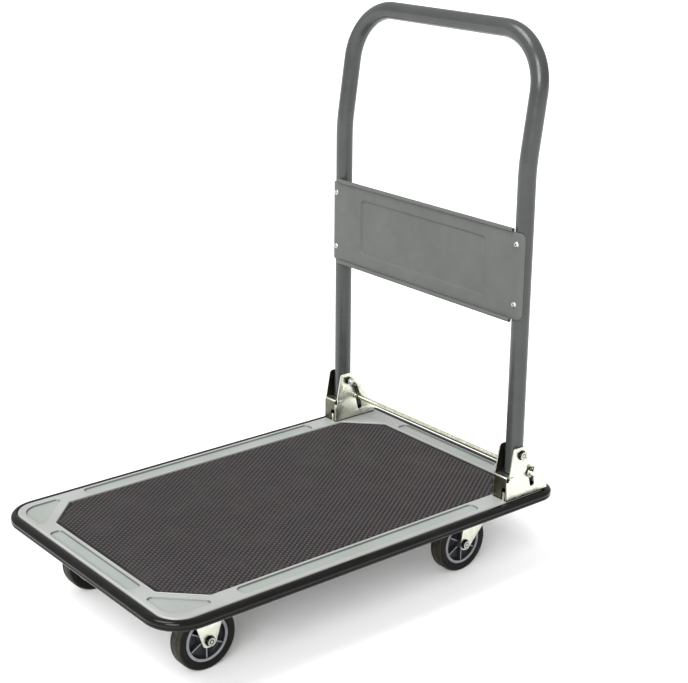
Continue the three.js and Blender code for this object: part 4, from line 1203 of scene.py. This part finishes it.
def swivel_caster(name):
    plate_low, plate_high = box_mm(f"swivel_plate_{name}")
    x, y, _ = (plate_low + plate_high) / 2
    axle_y = middle_mm(f"tyre_rear_{name}")[0].y
    crown = box_mm(f"swivel_fork_{name}")[1].z
    outline = rounded([
        (y - 26, crown, 0),
        (y - 30, crown - 8.5, 5),
        (axle_y - 9.6, AXLE_Z - 8.5, 8.4),
        (axle_y + 6.5, AXLE_Z - 12, 8.4),
        (y + 26, crown - 28, 9),
        (y + 23, crown, 0),
    ], steps=10)
    body = f"swivel_{name}"
    axis = (x, y, 0)
    fork("swivel", name, body, x, outline, crown)
    dish = [
        (PIN_BORE, crown), (20, crown), (26, crown - 0.6), (29, crown - 2.2), (29, crown - 3.4),
        (26.5, crown - 2.9), (18, crown - 2.6), (PIN_BORE, crown - 2.6), (PIN_BORE, crown),
    ]
    turned_piece(f"swivel_crown_{name}", body, "zinc", ZINC, dish, axis)
    caster_plate("swivel", name, x, y, plate_low.z, plate_high.z, f"swivel_plate_{name}")
    bearing_race(name, axis)
    kingpin(name, body, axis)


def bearing_race(name, axis):
    node = f"swivel_bearing_{name}"
    low, high = box_mm(node)
    profile = [
        (PIN_BORE, high.z), (23, high.z), (25.6, high.z - 0.9), (27, high.z - 2.6), (26.4, low.z + 1.2),
        (24.6, low.z + 0.9), (23.4, low.z + 0.1), (PIN_BORE, low.z), (PIN_BORE, high.z),
    ]
    turned_piece(f"bearing_race_{name}", "chassis", "zinc", ZINC, profile, axis, node=node)


def kingpin(name, body, axis):
    """The rivet that the caster turns on, with a domed head below the crown."""
    node = f"kingpin_{name}"
    low, high = box_mm(node)
    head = [(0, 0), (4.4, 0.2), (7.4, 1.2), (9.6, 3), (10, 5), (6, 5)]
    profile = [(radius, low.z + rise) for radius, rise in head] + [(6, high.z), (0, high.z)]
    turned_piece(f"kingpin_rivet_{name}", body, "bright_steel", STEEL, profile, axis, segments=40, node=node)


def wheel_core(name, body, node, centre):
    """Hub, recessed disc, six ribs a side and the rim flange. The hub face, the recess and the bore are
    painted darker, as shade.
    """
    shape = Shape()
    half = CORE_WIDTH / 2 + 0.6
    web = 2.2
    bore = BOLT_RADIUS + 0.3
    hub = 10
    hub_half = FORK_GAP - 0.6
    rim = RIM_RADIUS - 4.5
    edge = (rim, half - 0.7)
    face = [(bore, hub_half), (hub - 0.6, hub_half), (hub, hub_half - 0.6)]
    recess = [face[-1], (hub + 0.2, web + 1.6), (hub + 1.6, web)]
    recess += [(rim - 1.6, web), (rim - 0.3, web + 1.4), edge]
    flange = [
        edge, (rim + 0.25, half - 0.2), (rim + 0.8, half), (RIM_RADIUS - 0.9, half),
        (RIM_RADIUS - 0.2, half - 0.3), (RIM_RADIUS, half - 1), (RIM_RADIUS, 0),
    ]
    for sign in (-1, 1):
        for profile, mark in ((face, 1), (recess, 1), (flange, 0)):
            shape.turned([(r, sign * d) for r, d in profile], centre, segments=64, mark=mark)
    shape.turned([(bore, -hub_half), (bore, hub_half)], centre, segments=64, mark=1)
    for i in range(RIB_COUNT):
        rib(shape, centre, math.radians(360 * i / RIB_COUNT + 30), hub - 0.5, rim + 0.5, half - 2.2)
    shape.piece(name, body, "wheel_core", [CORE_GREY, CORE_SHADE], node, sharp=35)


def rib(shape, centre, angle, start, end, half):
    """A drafted rib through the disc: its sides take the painted shade of the recess, its lighter edges face
    outward.
    """
    root, edge = 1.5, 1.0  # half its thickness at the disc and at its lit edge
    outward = Vector((0, math.cos(angle), math.sin(angle)))
    across = Vector((0, -math.sin(angle), math.cos(angle)))
    for sign in (-1, 1):
        rows = []
        for level, thick in ((0, root), (half - 0.3, edge), (half, edge - 0.35)):
            middle = Vector(centre) + Vector((sign * level, 0, 0))
            corners = ((start, -thick), (end, -thick), (end, thick), (start, thick))
            rows.append([middle + outward * reach + across * offset for reach, offset in corners])
        shape.loft(rows[:2], mark=1)
        shape.loft(rows[1:])
        shape.cap(rows[2])


def tyre(name, body, node, centre):
    """Solid tyre: rounded shoulders and two fine grooves near each edge of the tread."""
    half = TYRE_HALF.x
    shoulder = 4.2
    inner = RIM_RADIUS + 0.3
    side = [(inner, 0), (inner, half - 1.2), (inner + 0.5, half - 0.5), (inner + 1.6, half - 0.15)]
    side += [(WHEEL_RADIUS - shoulder - 3, half)]
    side += arc((WHEEL_RADIUS - shoulder, half - shoulder), shoulder, 90, 0, 10)
    for groove in (half - 5.2, half - 7.2):
        side += [
            (WHEEL_RADIUS, groove + 0.55), (WHEEL_RADIUS - 0.5, groove + 0.3),
            (WHEEL_RADIUS - 0.5, groove - 0.3), (WHEEL_RADIUS, groove - 0.55),
        ]
    side += [(WHEEL_RADIUS, 0)]
    wall_end = 9  # the darker sidewall goes on for about a third of the shoulder
    shape = Shape()
    for sign in (-1, 1):
        half_profile = [(r, sign * x) for r, x in side]
        shape.turned(half_profile[:wall_end], centre, segments=96, mark=1)
        shape.turned(half_profile[wall_end - 1:], centre, segments=96)
    shape.piece(name, body, "tyre", [TYRE_RUBBER, SIDEWALL_RUBBER], node, sharp=40)


def wheel(end, name, side, body, fork_body):
    tag = f"{end}_{name}"
    centre, _ = middle_mm(f"tyre_{tag}")
    wheel_core(f"wheel_hub_{tag}", body, f"wheel_core_{tag}", centre)
    tyre(f"tyre_tread_{tag}", body, f"tyre_{tag}", centre)
    reach = abs(centre.x)
    face = FORK_GAP + FORK_SHEET
    axle = (centre.y, centre.z)
    cross_bolt("axle", tag, fork_body, side, axle, reach + face, reach - face)
    cross_nut("axle", tag, fork_body, side, axle, reach - face)


# ---- assembly ----------------------------------------------------------------------------------
def build_cart():
    deck_pan()
    deck_mat()
    edge_bumper()
    handle_tube()
    panel_sheet()
    panel_hem("top", PANEL_EDGE_HIGH, 1)
    panel_hem("bottom", PANEL_EDGE_LOW, -1)
    lock_bar()
    cheeks = (TUBE_X + BRACKET_HALF_WIDTH, TUBE_X - BRACKET_HALF_WIDTH)
    for name, side in SIDES:
        stiffener(name)
        bracket(name, side)
        panel_rivet(name, side, "low")
        panel_rivet(name, side, "high")
        cross_bolt("pivot", name, "chassis", side, PIVOT, *cheeks)
        cross_nut("pivot", name, "chassis", side, PIVOT, cheeks[1])
        lock_washer(name)
        split_pin(name)
        return_spring(name, side)
        fixed_caster(name)
        swivel_caster(name)
        wheel("front", name, side, f"wheel_front_{name}", "chassis")
        wheel("rear", name, side, f"wheel_rear_{name}", f"swivel_{name}")


# ---- stage, light and camera -------------------------------------------------------------------
CAMERA_TARGET = Vector((0.1289, 0.0124, 0.4228))
CAMERA_DISTANCE = 2.2
CAMERA_AZIMUTH = math.radians(50.8)
CAMERA_ELEVATION = math.radians(18.8)
CAMERA_ROLL = math.radians(0.48)
CAMERA_LENS = 79.73  # millimetres, on a sensor 36 mm wide


def camera():
    back = Vector((
        math.sin(CAMERA_AZIMUTH) * math.cos(CAMERA_ELEVATION),
        -math.cos(CAMERA_AZIMUTH) * math.cos(CAMERA_ELEVATION),
        math.sin(CAMERA_ELEVATION),
    ))
    right = Vector((0, 0, 1)).cross(back).normalized()
    axes = Matrix((right, back.cross(right), back)).transposed() @ Matrix.Rotation(CAMERA_ROLL, 3, "Z")
    data = bpy.data.cameras.new("camera")
    data.lens = CAMERA_LENS
    data.sensor_width = 36
    data.clip_end = 50
    eye = new_object("camera", data)
    eye.matrix_world = Matrix.Translation(CAMERA_TARGET + back * CAMERA_DISTANCE) @ axes.to_4x4()
    bpy.context.scene.camera = eye


def floor():
    mesh = bpy.data.meshes.new("floor")
    half = 30
    mesh.from_pydata(at_height(rounded_rectangle(half, half, 0), 0), [], [(0, 1, 2, 3)])
    look = Look("floor_paper", specular=0.1)
    colour = look.blend(look.noise(400, 2), (0.94, 0.94, 0.94, 1), (0.96, 0.96, 0.96, 1))
    mesh.materials.append(look.finish(colour, look.uneven(200, 3, 0.8, 0.9), look.noise(20), 0.01))
    new_object("floor", mesh)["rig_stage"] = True


def softlight(name, source, spread, strength):
    """A very wide distant light, like a large diffuser, shining from a direction."""
    data = bpy.data.lights.new(name, "SUN")
    data.angle = math.radians(spread)
    data.energy = strength
    new_object(name, data).rotation_euler = Vector(source).to_track_quat("Z", "Y").to_euler()


def lights():
    world = bpy.data.worlds.new("studio")
    world.use_nodes = True
    background = world.node_tree.nodes["Background"].inputs
    background["Color"].default_value = (1, 1, 1, 1)
    background["Strength"].default_value = 0.75
    bpy.context.scene.world = world
    softlight("key", (-0.2, -0.45, 1.0), 34, 2.5)
    softlight("fill", (0.6, -0.85, 0.58), 34, 3.0)


camera()
build_cart()
floor()
lights()
bpy.context.scene.view_settings.view_transform = "Standard"

boxes = {"cad": CAD_BOX, "visual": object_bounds()}
{k: [list(corner) for corner in v] for k, v in boxes.items()}
